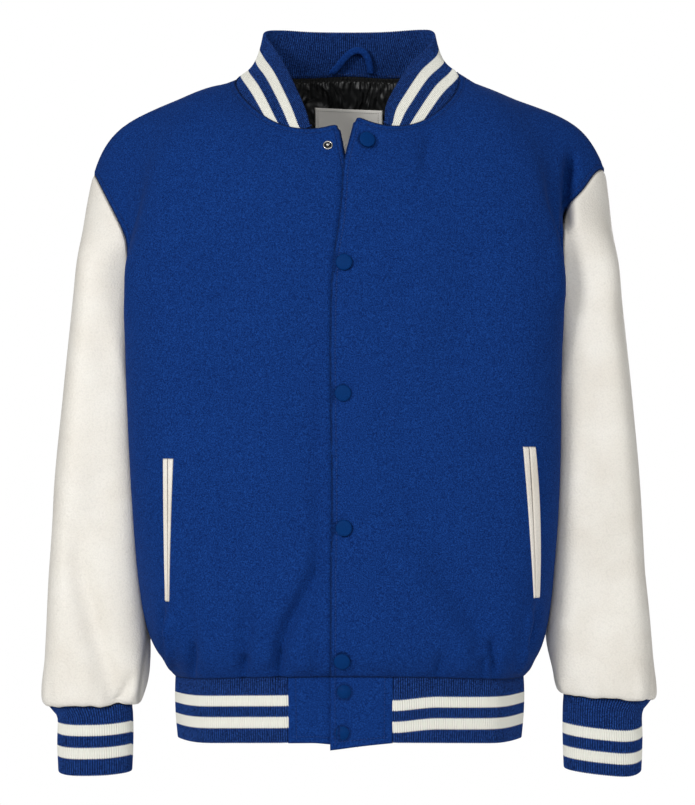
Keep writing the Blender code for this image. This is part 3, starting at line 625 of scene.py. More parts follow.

# %% [markdown]
# ## Folds, creases and puckers
#
# Cloth that is filled out still remembers how it hung: long soft valleys run up from the
# hem, the band draws small puckers into the seam above it, and the wool folds in deeply
# under the shoulder.  A simulation would put such folds wherever it likes, so they are
# placed one by one.  Each one is a line drawn on a view of the jacket, with a width and a
# depth in millimetres, and its ends fade out.  A slow noise gives the rest of the cloth
# the slight unevenness that nothing sewn is without.

# %% The folds, drawn on four views
Fold = namedtuple("Fold", "view line width depth")
VIEWS = {                      # the two axes drawn on, the axis looked along and its sign
    "front": (0, 2, 1, -1), "back": (0, 2, 1, 1),
    "right": (1, 2, 0, -1), "left": (1, 2, 0, 1),
}
FOLDS = {
    "front": [
        # the cloth stands a little proud beside the deep tuck under the left shoulder
        ([(212, -100), (215, -140), (217, -190), (218, -230)], 9.0, 3.0),
        ([(-228.5, -100), (-229.5, -172)], 3.0, -1.6),
        # the valleys that run up from the hem of the right front, from the side to the middle
        ([(-157, -500), (-166, -550), (-160, -585), (-160.5, -618)], 9.0, -4.9),
        ([(-159.5, -580), (-160.5, -600), (-160.5, -624)], 3.6, -6.6),
        ([(-101, -520), (-103, -570), (-106, -600), (-107, -624)], 7.0, -7.4),
        ([(-106, -596), (-107, -624)], 3.4, -5.8),
        ([(-24, -470), (-29, -505), (-42, -535), (-58, -562), (-68, -588), (-71, -624)], 6.5, -12.0),
        ([(-70, -584), (-71, -604), (-71, -626)], 3.4, -5.8),
        ([(-38, -560), (-40, -624)], 12.0, 3.3),
        ([(-26, -250), (-29, -400), (-31, -520), (-32, -624)], 3.8, -4.6),
        # and of the left front
        ([(79, -480), (97, -515), (115, -540), (131, -565), (141, -590)], 15.0, -8.2),
        ([(97, -592), (92.5, -606), (90.5, -624)], 3.8, -6.6),
        ([(141, -598), (138, -624)], 3.4, -6.3),
        ([(147.5, -574), (149, -590), (151, -604), (150, -624)], 3.8, -8.6),
        ([(120, -575), (116, -620)], 9.0, 3.3),
        ([(196, -565), (188, -590)], 7.0, -7.4),
        # the edges that stand up below the pockets
        ([(-150, -480), (-170, -540), (-180, -575)], 9.0, 4.0),
        ([(-182.5, -548), (-183.5, -574), (-183, -612)], 3.8, 6.6),
        ([(-189.5, -535), (-190, -606)], 4.0, -4.9),
        ([(189, -542), (187, -560), (184, -585), (175, -620)], 3.8, 6.9),
        ([(196, -540), (194, -562), (189, -598)], 4.0, -5.3),
        # soft pulls below the neck and across the chest
        ([(85, -56), (84, -78), (80, -104)], 6.5, -5.9),
        ([(40, -62), (28, -82), (14, -100)], 6.0, -4.3),
        ([(-150, -110), (-120, -200), (-112, -300)], 30.0, -4.9),
        ([(-190, -395), (-120, -330), (-70, -300)], 26.0, -4.0),
        ([(-175, -420), (-120, -450), (-60, -520)], 22.0, -4.3),
        ([(150, -120), (118, -220), (105, -330)], 30.0, -4.9),
        ([(30, -330), (70, -430), (95, -500)], 24.0, -4.3),
        # the right sleeve: one long slack valley and a nick above the cuff
        ([(-284, -440), (-276, -520), (-258, -590), (-240, -650)], 12.5, -8.5),
        ([(-222, -618), (-228, -640), (-240, -664)], 5.0, -4.2),
        ([(-262, -395), (-255, -470)], 18.0, -2.5),
        # the left sleeve
        ([(262, -170), (266, -260), (270, -350)], 14.0, 1.8),
        ([(282, -380), (286, -470), (278, -560)], 18.0, -3.2),
        ([(246, -470), (250, -560), (246, -630)], 14.0, -2.6),
    ],
    "back": [
        # slack over the hem and at the elbows
        ([(-120, -500), (-112, -560), (-116, -622)], 10.0, -3.0),
        ([(30, -520), (22, -570), (26, -622)], 9.0, -2.8),
        ([(128, -490), (136, -560), (130, -622)], 10.0, -3.0),
        ([(-60, -590), (-62, -622)], 5.0, -2.2),
        ([(80, -590), (84, -622)], 5.0, -2.2),
        ([(-262, -330), (-232, -350)], 8.0, -3.0),
        ([(-268, -385), (-228, -400)], 9.0, -3.4),
        ([(262, -335), (232, -352)], 8.0, -3.0),
        ([(270, -388), (230, -398)], 9.0, -3.4),
        ([(-150, -120), (-118, -230), (-110, -330)], 28.0, -2.6),
        ([(150, -120), (118, -230), (110, -330)], 28.0, -2.6),
    ],
    "right": [
        ([(-20, -430), (6, -520), (-8, -610)], 16.0, -3.0),
    ],
    "left": [
        ([(20, -420), (-6, -520), (8, -610)], 16.0, -3.0),
    ],
}
FOLDS = [Fold(view, *fold) for view, folds in FOLDS.items() for fold in folds]


# %% Press one fold into the surface
FADE_IN, FADE_OUT = 0.45, 0.8  # the shares of its length where a fold is grown, and fades again
FADE_LOSS = 0.3                # how much of its depth it loses at its end
FACING = (-0.1, 0.35)          # a fold dies away where the cloth turns out of its view


def beside_line(flat, line):
    """For each spot on a view: its distance to a line, and how far along the line that is."""
    line = np.array(line, float)
    lengths = np.linalg.norm(np.diff(line, axis=0), axis=1)
    nearest = np.full(len(flat), np.inf)
    share = np.zeros(len(flat))
    passed = 0.0
    for start, end, length in zip(line, line[1:], lengths):
        way = (end - start) / length
        run = np.clip((flat - start) @ way, 0, length)
        gap = np.linalg.norm(flat - start - run[:, None] * way, axis=1)
        closer = gap < nearest
        nearest[closer] = gap[closer]
        share[closer] = ((passed + run) / lengths.sum())[closer]
        passed += length
    return nearest, share


def fold_height(points, normals, fold):
    """How far each point moves outwards for one fold."""
    across, upwards, depth_axis, sign = VIEWS[fold.view]
    nearest, share = beside_line(points[:, [across, upwards]], fold.line)
    fade = smooth_step(share, 0, FADE_IN)
    fade = np.where(share > 0.5, 1 - FADE_LOSS * smooth_step(share, FADE_OUT, 1), fade)
    facing = smooth_step(sign * normals[:, depth_axis], *FACING)
    return fold.depth * np.exp(-(nearest / fold.width) ** 2) * fade * facing


def slow_noise(points, size, stretch, seed):
    """Smooth noise from -1 to 1, with blobs of one size across and stretched along Z."""
    return np.array([noise.noise((x / size + seed, y / size, z / (size * stretch)))
                     for x, y, z in points.tolist()])


# %% Fold the whole garment
HEM_GATHER = (26.0, 2.2)       # how far up the hem's puckers reach, and how deep they are
CUFF_GATHER = (34.0, 3.0)
CUFF_SEAMS = (-660, -652)      # the heights of the right and the left cuff's seam
PUCKER = (13.0, 5.0, 7.7)      # the puckers' width, how much longer they are, and their seed
SLACK = (70.0, 1.6, 3.1)       # the same of the cloth's slow unevenness
SLACK_HEIGHT = 1.3
HELD_REACH = 14                # how far above the hem's seam the cloth is held by it
HELD_SHARE = 0.75              # how much of its move the cloth keeps at that seam
# the wool's deep tuck under the left shoulder, straight back into the jacket
# its wall is steep on the chest's side and slopes back out on the arm's
TUCK_LINE = [(231, -78), (228, -95), (225.5, -120), (225, -145), (225, -170)]
TUCK_WIDTHS = (3.2, 7.5)
TUCK_DEPTH = 26.0


def fold_garment(points, normals):
    moved = sum(fold_height(points, normals, fold) for fold in FOLDS)
    moved += SLACK_HEIGHT * slow_noise(points, *SLACK)
    sleeve = np.zeros(len(points), bool)
    for name in SIDES.values():
        sleeve[faces[panels == PANELS.index("sleeve_" + name)].ravel()] = True
    pucker = slow_noise(points, *PUCKER)
    above_hem = points[:, 2] - LEVELS[0].z + LEVELS[0].dip * (points[:, 0] / LEVELS[0].half_left) ** 2
    moved += np.where(sleeve, 0, HEM_GATHER[1] * np.exp(-(above_hem / HEM_GATHER[0]) ** 2)
                      * smooth_step(above_hem, 1, 9)) * pucker
    above_cuff = points[:, 2] - np.where(points[:, 0] < 0, *CUFF_SEAMS)
    moved += np.where(sleeve, CUFF_GATHER[1] * np.exp(-(above_cuff / CUFF_GATHER[0]) ** 2), 0) * pucker
    # at the seam with the hem the cloth is held, so it may only swing a little, and level
    held = np.where(sleeve, 1.0, smooth_step(above_hem, -1, HELD_REACH))
    ways = normals * np.stack([np.ones(len(points)), np.ones(len(points)), held], 1)
    folded = points + ways * (moved * (HELD_SHARE + (1 - HELD_SHARE) * held))[:, None]
    line = np.array(TUCK_LINE, float)
    steps = np.linspace(0, 1, 40)
    fine = np.stack([np.interp(steps * (len(line) - 1), np.arange(len(line)), part) for part in line.T], 1)
    gaps = np.linalg.norm(points[:, None, [0, 2]] - fine[None], axis=2)
    nearest = gaps.argmin(axis=1)
    share = steps[nearest]
    width = np.where(points[:, 0] < fine[nearest, 0], *TUCK_WIDTHS)
    depth = TUCK_DEPTH * smooth_step(share, 0, 0.35) * (1 - smooth_step(share, 0.8, 1))
    depth *= np.exp(-(gaps.min(axis=1) / width) ** 2)
    folded[:, 1] += np.where(normals[:, 1] < 0.1, depth, 0)
    return folded


points = fold_garment(smooth_points, smooth_normals)
normals = point_normals(points, faces)
moved = np.linalg.norm(points - smooth_points, axis=1)
print("Folds:", len(FOLDS), "lines, deepest move %.1f mm" % moved.max())

# %% [markdown]
# ## Finishes
#
# Every finish starts from what the real cloth is and how it was made.  Their patterns are
# sized in metres, because a material reads the object's own coordinates: a fibre that is
# 1.3 mm long has a noise scale of 1 / 0.0013.

# %% Colours and nodes
def linear(code):
    """A hex colour as it is written for a screen, turned to linear light."""
    parts = [int(code[place:place + 2], 16) / 255 for place in (0, 2, 4)]
    return [part / 12.92 if part <= 0.04045 else ((part + 0.055) / 1.055) ** 2.4
            for part in parts] + [1.0]


def add(tree, kind, sockets=None, **settings):
    """A node with its settings.  A socket takes a value, or another node's output."""
    node = tree.nodes.new(kind)
    for name, value in settings.items():
        setattr(node, name, value)
    for name, value in (sockets or {}).items():
        if isinstance(value, bpy.types.NodeSocket):
            tree.links.new(value, node.inputs[name])
        else:
            node.inputs[name].default_value = value
    return node


def finish_of(name, **values):
    """A new material, with plain values set on its Principled shader."""
    made = bpy.data.materials.new(name)
    made.use_nodes = True
    shader = made.node_tree.nodes["Principled BSDF"]
    for socket, value in values.items():
        shader.inputs[socket.replace("_", " ").title().replace("Ior", "IOR")].default_value = value
    return made, made.node_tree, shader


def paint(ramp, stops):
    """Set a Color Ramp's stops from (place, hex colour) pairs."""
    stripe = ramp.color_ramp
    while len(stripe.elements) < len(stops):
        stripe.elements.new(0.5)
    for element, (place, code) in zip(stripe.elements, stops):
        element.position = place
        element.color = linear(code)


# %% [markdown]
# ### Melton wool
#
# Melton is woven, then shrunk and brushed until the weave is gone: a dense short nap with
# no shine, a little lighter where it is seen edge on, which is what sheen gives.  The nap
# shows as fine clumps of fibre that catch the light a little differently.  Along a seam,
# in the row of topstitching and round each snap cap the nap is pressed down, and its
# colour is darkened there as painted shade.

# %% Melton wool
FIBRE = 0.0013                 # real fibres are finer, but this is the finest that shows
CLUMP = 0.009
GRIME = 0.060
STITCH_INSET = 5.6             # millimetres from an edge to its row of topstitching


def wool_finish(name, dark, middle, light):
    made, tree, shader = finish_of(name, roughness=0.95, sheen_weight=0.05, sheen_roughness=0.4,
                                   sheen_tint=linear("7f9fe0"), specular_ior_level=0.08)
    place = add(tree, "ShaderNodeTexCoord").outputs["Object"]
    nap = add(tree, "ShaderNodeTexNoise", {"Vector": place, "Scale": 1 / FIBRE, "Detail": 2.0,
                                           "Roughness": 0.6})
    clumps = add(tree, "ShaderNodeTexNoise", {"Vector": place, "Scale": 1 / CLUMP, "Detail": 2.0})
    wear = add(tree, "ShaderNodeTexNoise", {"Vector": place, "Scale": 1 / GRIME})
    mixed = add(tree, "ShaderNodeMath", {0: nap.outputs["Fac"], 1: 0.93}, operation="MULTIPLY")
    mixed = add(tree, "ShaderNodeMath", {0: clumps.outputs["Fac"], 1: 0.04, 2: mixed.outputs[0]},
                operation="MULTIPLY_ADD")
    mixed = add(tree, "ShaderNodeMath", {0: wear.outputs["Fac"], 1: 0.03, 2: mixed.outputs[0]},
                operation="MULTIPLY_ADD")
    tone = add(tree, "ShaderNodeValToRGB", {"Fac": mixed.outputs[0]})
    paint(tone, [(0.33, dark), (0.50, middle), (0.67, light)])
    seam = add(tree, "ShaderNodeAttribute", attribute_name="seam")
    stitch = add(tree, "ShaderNodeAttribute", attribute_name="stitch")
    seam_groove_and_shade = add(tree, "ShaderNodeMapRange", {"Value": seam.outputs["Fac"], 1: 0.0, 2: 2.6,
                                              3: 0.0, 4: 1.0}, interpolation_type="SMOOTHSTEP")
    off_row = add(tree, "ShaderNodeMath", {0: stitch.outputs["Fac"], 1: STITCH_INSET},
                  operation="SUBTRACT")
    off_row = add(tree, "ShaderNodeMath", {0: off_row.outputs[0]}, operation="ABSOLUTE")
    stitch_channel_and_shade = add(tree, "ShaderNodeMapRange", {"Value": off_row.outputs[0], 1: 0.0, 2: 1.8,
                                               3: 0.45, 4: 1.0}, interpolation_type="SMOOTHSTEP")
    relief = add(tree, "ShaderNodeMath", {0: seam_groove_and_shade.outputs[0], 1: stitch_channel_and_shade.outputs[0]},
                 operation="MULTIPLY")
    # painted shade: the colour falls to 0.62 of itself in the seam grooves, the stitch channels and the rings
    # round the snap caps
    shaded = add(tree, "ShaderNodeMapRange", {"Value": relief.outputs[0], 3: 0.62, 4: 1.0})
    colour = add(tree, "ShaderNodeMix", {0: 1.0, 6: tone.outputs["Color"], 7: shaded.outputs[0]},
                 data_type="RGBA", blend_type="MULTIPLY")
    tree.links.new(colour.outputs[2], shader.inputs["Base Color"])
    fuzz = add(tree, "ShaderNodeBump", {"Height": nap.outputs["Fac"], "Strength": 0.55,
                                        "Distance": 0.0006})
    pressed = add(tree, "ShaderNodeBump", {"Height": relief.outputs[0], "Strength": 0.8,
                                           "Distance": 0.0012, "Normal": fuzz.outputs["Normal"]})
    tree.links.new(pressed.outputs["Normal"], shader.inputs["Normal"])
    return made


melton = wool_finish("melton_wool_blue", "062157", "0d3171", "174189")
print("Made", melton.name)

# %% [markdown]
# ### Leather
#
# Smooth cowhide, dyed cream and coated.  Its grain is a net of fine creases around small
# pebbles a little over a millimetre across, and it has a soft shine that breaks up on
# them.  Two sizes of Voronoi cells make the pebbles, and the coat's roughness varies as
# it does where hands and folds have polished it.

# %% Cream leather
PEBBLE = 0.0017


def leather_finish(name, shade, colour, glow):
    made, tree, shader = finish_of(name, roughness=0.5, ior=1.5, specular_ior_level=0.42)
    place = add(tree, "ShaderNodeTexCoord").outputs["Object"]
    bend = add(tree, "ShaderNodeTexNoise", {"Vector": place, "Scale": 1 / (3 * PEBBLE)})
    bent = add(tree, "ShaderNodeVectorMath", {0: bend.outputs["Color"], "Scale": 0.0016},
               operation="SCALE")
    bent = add(tree, "ShaderNodeVectorMath", {0: place, 1: bent.outputs[0]}, operation="ADD")
    pebbles = add(tree, "ShaderNodeTexVoronoi", {"Vector": bent.outputs[0], "Scale": 1 / PEBBLE,
                                                 "Smoothness": 0.6}, feature="SMOOTH_F1")
    fine = add(tree, "ShaderNodeTexNoise", {"Vector": place, "Scale": 4 / PEBBLE, "Detail": 3.0})
    broad = add(tree, "ShaderNodeTexNoise", {"Vector": place, "Scale": 22.0, "Detail": 2.0})
    tone = add(tree, "ShaderNodeValToRGB", {"Fac": broad.outputs["Fac"]})
    paint(tone, [(0.25, shade), (0.50, colour), (0.75, glow)])
    crease = add(tree, "ShaderNodeMapRange", {"Value": pebbles.outputs["Distance"], 1: 0.35, 2: 0.85,
                                              3: 1.0, 4: 0.93})
    worn = add(tree, "ShaderNodeMix", {0: 1.0, 6: tone.outputs["Color"], 7: crease.outputs[0]},
               data_type="RGBA", blend_type="MULTIPLY")
    seam = add(tree, "ShaderNodeAttribute", attribute_name="seam")
    # painted shade: the colour falls to 0.62 of itself in the seam grooves, which the bump below also sinks
    seam_groove_and_shade = add(tree, "ShaderNodeMapRange", {"Value": seam.outputs["Fac"], 1: 0.0, 2: 2.2,
                                              3: 0.62, 4: 1.0}, interpolation_type="SMOOTHSTEP")
    base = add(tree, "ShaderNodeMix", {0: 1.0, 6: worn.outputs[2], 7: seam_groove_and_shade.outputs[0]},
               data_type="RGBA", blend_type="MULTIPLY")
    tree.links.new(base.outputs[2], shader.inputs["Base Color"])
    gloss = add(tree, "ShaderNodeMapRange", {"Value": broad.outputs["Fac"], 3: 0.40, 4: 0.62})
    tree.links.new(gloss.outputs[0], shader.inputs["Roughness"])
    grain = add(tree, "ShaderNodeBump", {"Height": pebbles.outputs["Distance"], "Strength": 0.6,
                                         "Distance": 0.0005}, invert=True)
    pores = add(tree, "ShaderNodeBump", {"Height": fine.outputs["Fac"], "Strength": 0.25,
                                         "Distance": 0.0003, "Normal": grain.outputs["Normal"]})
    pressed = add(tree, "ShaderNodeBump", {"Height": seam_groove_and_shade.outputs[0], "Strength": 0.8,
                                           "Distance": 0.0016, "Normal": pores.outputs["Normal"]})
    tree.links.new(pressed.outputs["Normal"], shader.inputs["Normal"])
    return made


cowhide = leather_finish("cowhide_cream", "e9e3d8", "eee9df", "f2eee5")
welt_hide = leather_finish("welt_leather_cream", "e0d8ca", "ebe4d8", "f0eae0")
print("Made", cowhide.name)

# %% [markdown]
# ### Rib knit
#
# A ribbed band is knitted as one piece with its two cream stripes, and folded double.  Its
# points carry how many ribs along they are and how far from the fold, so the stripes stay
# at the same distance from the fold wherever the band bends.  Where the colour changes,
# each loop of yarn hangs into the row before it, so a stripe's edge is a row of small
# teeth, one to a rib.

# %% Rib knit with two stripes
YARN_ROW = 1.5                 # millimetres from one row of loops to the next
TOOTH = 1.3                    # how far a loop reaches over a stripe's edge


def rib_crown(tree, ribs):
    """From a count of ribs: 1 on the crown of each, and 0 in the grooves between them."""
    wave = add(tree, "ShaderNodeMath", {0: ribs, 1: math.pi}, operation="MULTIPLY")
    wave = add(tree, "ShaderNodeMath", {0: wave.outputs[0]}, operation="SINE")
    return add(tree, "ShaderNodeMath", {0: wave.outputs[0]}, operation="ABSOLUTE")


def rib_finish(name, stripes, dark="0a1d4c", light="244c96", cream="ebeae0"):
    """Knit with stripes from and to these distances from the fold, in millimetres."""
    made, tree, shader = finish_of(name, roughness=0.92, sheen_weight=0.03, sheen_roughness=0.4,
                                   specular_ior_level=0.08)
    knit = add(tree, "ShaderNodeAttribute", attribute_name="knit")
    parts = add(tree, "ShaderNodeSeparateXYZ", {0: knit.outputs["Vector"]})
    crown = rib_crown(tree, parts.outputs["X"])
    height = add(tree, "ShaderNodeMath", {0: crown.outputs[0], 1: TOOTH, 2: parts.outputs["Y"]},
                 operation="MULTIPLY_ADD")
    inside = None
    for start, end in stripes:
        above, below = [add(tree, "ShaderNodeMath", {0: height.outputs[0], 1: edge}, operation=way)
                        for edge, way in ((start, "GREATER_THAN"), (end, "LESS_THAN"))]
        both = add(tree, "ShaderNodeMath", {0: above.outputs[0], 1: below.outputs[0]},
                   operation="MULTIPLY")
        if inside is not None:
            both = add(tree, "ShaderNodeMath", {0: inside.outputs[0], 1: both.outputs[0]},
                       operation="MAXIMUM")
        inside = both
    place = add(tree, "ShaderNodeTexCoord").outputs["Object"]
    fuzz = add(tree, "ShaderNodeTexNoise", {"Vector": place, "Scale": 1 / FIBRE, "Detail": 3.0})
    yarn = add(tree, "ShaderNodeValToRGB", {"Fac": fuzz.outputs["Fac"]})
    paint(yarn, [(0.35, dark), (0.68, light)])
    coloured = add(tree, "ShaderNodeMix", {0: inside.outputs[0], 6: yarn.outputs["Color"],
                                           7: linear(cream)}, data_type="RGBA")
    # painted shade: the grooves between the ribs are darkened, down to 0.08 on the blue and far less on the
    # cream stripes
    rib_groove_shade = add(tree, "ShaderNodeMapRange", {"Value": crown.outputs[0], 1: 0.0, 2: 0.75,
                                            3: 0.08, 4: 1.0}, interpolation_type="SMOOTHSTEP")
    pale = add(tree, "ShaderNodeMapRange", {"Value": inside.outputs[0], 3: 0.0, 4: 0.95})
    shade = add(tree, "ShaderNodeMix", {0: pale.outputs[0], 2: rib_groove_shade.outputs[0], 3: 1.0})
    base = add(tree, "ShaderNodeMix", {0: 1.0, 6: coloured.outputs[2], 7: shade.outputs[0]},
               data_type="RGBA", blend_type="MULTIPLY")
    tree.links.new(base.outputs[2], shader.inputs["Base Color"])
    rows = add(tree, "ShaderNodeMath", {0: height.outputs[0], 1: 2 * math.pi / YARN_ROW},
               operation="MULTIPLY")
    rows = add(tree, "ShaderNodeMath", {0: rows.outputs[0]}, operation="SINE")
    loops = add(tree, "ShaderNodeBump", {"Height": rows.outputs[0], "Strength": 0.25,
                                         "Distance": 0.0003})
    hairy = add(tree, "ShaderNodeBump", {"Height": fuzz.outputs["Fac"], "Strength": 0.35,
                                         "Distance": 0.0004, "Normal": loops.outputs["Normal"]})
    tree.links.new(hairy.outputs["Normal"], shader.inputs["Normal"])
    return made


collar_knit = rib_finish("rib_knit_collar", [(15.8, 27.3), (39.8, 51.0)])
cuff_knit = rib_finish("rib_knit_cuff", [(12.1, 23.5), (36.0, 47.3)])
hem_knit = rib_finish("rib_knit_hem", [(15.2, 26.4), (37.6, 48.3)])
print("Made", collar_knit.name, cuff_knit.name, hem_knit.name)

# %% [markdown]
# ### Linings, label, metal and thread
#
# The lining is black acetate satin: smooth, so its folds show as bright streaks.  The
# label is a grey woven tape, painted nearly white to stand in for the light that the neck's
# shade keeps from it.  The snap caps are brass pressed to a shallow dome and enamelled
# blue, and the bare stud is nickel plated, with painted shade in its hollow.

# %% The smaller finishes
def patterned(name, scale, stops=None, gloss=None, bump=None, bands=None, **values):
    """A finish whose colour, gloss or relief follows one fine noise, or bands bent by so much."""
    made, tree, shader = finish_of(name, **values)
    sockets = {"Vector": add(tree, "ShaderNodeTexCoord").outputs["Object"], "Scale": scale}
    if bands:
        pattern = add(tree, "ShaderNodeTexWave", {**sockets, "Distortion": bands}, bands_direction="Z")
    else:
        pattern = add(tree, "ShaderNodeTexNoise", sockets)
    if stops:
        tint = add(tree, "ShaderNodeValToRGB", {"Fac": pattern.outputs["Fac"]})
        paint(tint, stops)
        tree.links.new(tint.outputs["Color"], shader.inputs["Base Color"])
    if gloss:
        worn = add(tree, "ShaderNodeMapRange", {"Value": pattern.outputs["Fac"], 3: gloss[0],
                                                4: gloss[1]})
        tree.links.new(worn.outputs[0], shader.inputs["Roughness"])
    if bump:
        raised = add(tree, "ShaderNodeBump", {"Height": pattern.outputs["Fac"], "Strength": bump[0],
                                              "Distance": bump[1]})
        tree.links.new(raised.outputs["Normal"], shader.inputs["Normal"])
    return made


satin = patterned("lining_satin_black", 900.0, gloss=(0.38, 0.52), bump=(0.15, 0.0002),
                  base_color=linear("101112"), roughness=0.42, specular_ior_level=0.6)
# painted light: the tape is painted nearly white, lighter than its own grey, to stand in for the light that
# the neck's shade keeps from it
tape = patterned("label_tape_grey", 380.0, [(0.2, "f1ede5"), (0.8, "faf7f0")], bump=(0.3, 0.0003),
                 bands=0.6, base_color=linear("f6f3ec"), roughness=0.7)
# enamel is sprayed on the pressed brass caps, and the stud is nickel, with painted shade in its hollow
enamel = patterned("snap_enamel_blue", 1200.0, [(0.3, "042c62"), (0.7, "07346e")],
                   roughness=0.5, specular_ior_level=0.03)
nickel = patterned("nickel_plate", 1500.0, gloss=(0.18, 0.36), base_color=linear("cfccc6"),
                   metallic=1.0)
stud_hollow_shade = patterned("nickel_oxide_dark", 900.0, gloss=(0.4, 0.6), base_color=linear("141517"),
                  roughness=0.5, metallic=0.6)
# spun polyester thread is a twist of two strands every millimetre
thread_blue, thread_black, thread_grey = [
    patterned("thread_" + name, 1000.0, [(0.3, dark), (0.7, light)], roughness=0.6)
    for name, dark, light in (("blue", "0b2c6c", "113c86"), ("black", "08080a", "17181b"),
                              ("grey", "7f7b74", "a09c94"))]
print("Made", len(bpy.data.materials), "materials with the loaded ones")

# %% [markdown]
# ## Cutting the panels
#
# Each panel takes its own faces from the garment.  At a seam the cloth is turned under, so
# its edge rolls down into the seam on both sides and makes a groove.  The distance from
# every point to the nearest seam is kept on the mesh: the cloth's material paints shade
# into the groove with it, and the topstitching follows one of its contour lines.

# %% Distances to a set of seams
def nearest_gaps(spots, targets):
    """The distance from each spot to the nearest of some targets."""
    tree = KDTree(len(targets))
    for target in targets:
        tree.insert(target, 0)
    tree.balance()
    return np.array([tree.find(spot)[2] for spot in spots])


def distance_to(spots, edges):
    """The distance from each spot to the nearest of some seam edges."""
    targets = [(0, 0, 900)]    # far above, in case there are no such edges
    for here, after in edges:
        targets += [smooth_points[here] * (1 - share) + smooth_points[after] * share
                    for share in (0, 0.25, 0.5, 0.75)]
    return nearest_gaps(spots, targets)


def seams_between(name, others):
    """The seam edges of a panel with others.  None stands for its open edges."""
    pairs = [tuple(sorted((name, other))) if other else (name, None) for other in others]
    return [edge for pair in pairs for edge in borders.get(pair, [])]


# %% Round a front's top corner
CORNER_RADIUS = 8.0
CORNER_LIFT = (2.6, 15.0)      # the corner stands up this much, over this distance
CORNERS = {                    # the corner, the way along the neck, the way down the edge
    "front_left": (OVER_CORNER, (68, 13, -1.5), (-11, -14, -42)),
    "front_right": (UNDER_CORNER, (-67.5, 12, 6.5), (7, -14, -42)),
}


def round_corner(spots, name):
    """Pull the points outside an arc at the corner on to the arc."""
    corner, neck_way, edge_way = CORNERS[name]
    neck_way, edge_way = unit(np.array(neck_way, float)), unit(np.array(edge_way, float))
    offset = spots - np.array(corner)
    near = np.exp(-(np.linalg.norm(offset, axis=1) / CORNER_LIFT[1]) ** 2)
    spots = spots + np.outer(near, (0, 0, CORNER_LIFT[0]))
    offset = spots - np.array(corner) - (0, 0, CORNER_LIFT[0])
    run = np.stack([CORNER_RADIUS - offset @ neck_way, CORNER_RADIUS - offset @ edge_way], 1)
    length = np.linalg.norm(run, axis=1)
    outside = (run > 0).all(axis=1) & (length > CORNER_RADIUS)
    outside &= np.linalg.norm(offset, axis=1) < 2.5 * CORNER_RADIUS
    pulled = run * (CORNER_RADIUS / np.maximum(length, 1))[:, None]
    change = np.where(outside[:, None], run - pulled, 0)
    return spots + change[:, :1] * neck_way + change[:, 1:] * edge_way


# %% Cut one panel out of the garment
SEAM_ROLL = (1.1, 2.4)         # how deep a seam's edge rolls under, and over what width
PUFF_HEIGHT, PUFF_WIDTH = 0.8, 1.6         # how the cloth swells between an edge and its stitches
STITCH_DENT, DENT_WIDTH = 0.9, 1.5         # how far the stitches pull it in, and how wide


def underarm_seam(side):
    """Points along the sleeve's own seam, which turns to the front near the cuff."""
    line = []
    for number, ring in enumerate(sleeve_rings(side)):
        turn = 0.62 * smooth_step(number, 4, 9)
        line.append(np.array(ring[4]) * (1 - turn) + np.array(ring[3]) * turn)
    steps = np.linspace(0, 1, 25)[:, None]
    return np.vstack([start * (1 - steps) + end * steps for start, end in zip(line, line[1:])])


WRIST_SEAM = [(-206, -560), (-207.5, -589), (-212, -620), (-217.5, -660)]
WRIST_SHARE = 0.6              # below 1 its groove is wider than the other seams'


def wrist_seam(spots, ways):
    """Distance to the sleeve's seam where it shows in front, above the right cuff."""
    nearest, _ = beside_line(spots[:, [0, 2]], WRIST_SEAM)
    return np.where(ways[:, 1] < 0, np.minimum(nearest, FAR), FAR)


# %% Where the snap caps sit
CAPS = [(19.7, -75.5), (-3.5, -201.3), (-4.5, -333.5), (-3.5, -469.8), (-5.5, -604.4)]
TAB_CAPS = [(-3.5, -636.6), (-5.5, -678.6)]
# within a cap's radius, and a little beyond it, the wool is painted darker as shade
CAP_RADIUS, CAP_SEAT = 7.8, 6.0            # how wide a cap's dent is, and the ring that it rests on
HEM_SEAM_TOP = -612            # every edge of the hem seam lies below this


def beside_caps(spots):
    """How far each spot lies outside the nearest snap cap.  The cloth is pressed in there by the bump, and
    painted darker as shade.
    """
    centres = np.array(CAPS + TAB_CAPS, float)
    gaps = np.linalg.norm(spots[:, None, [0, 2]] - centres[None], axis=2).min(axis=1)
    return np.where(spots[:, 1] < 0, np.clip(gaps - CAP_RADIUS, 0, None), FAR)


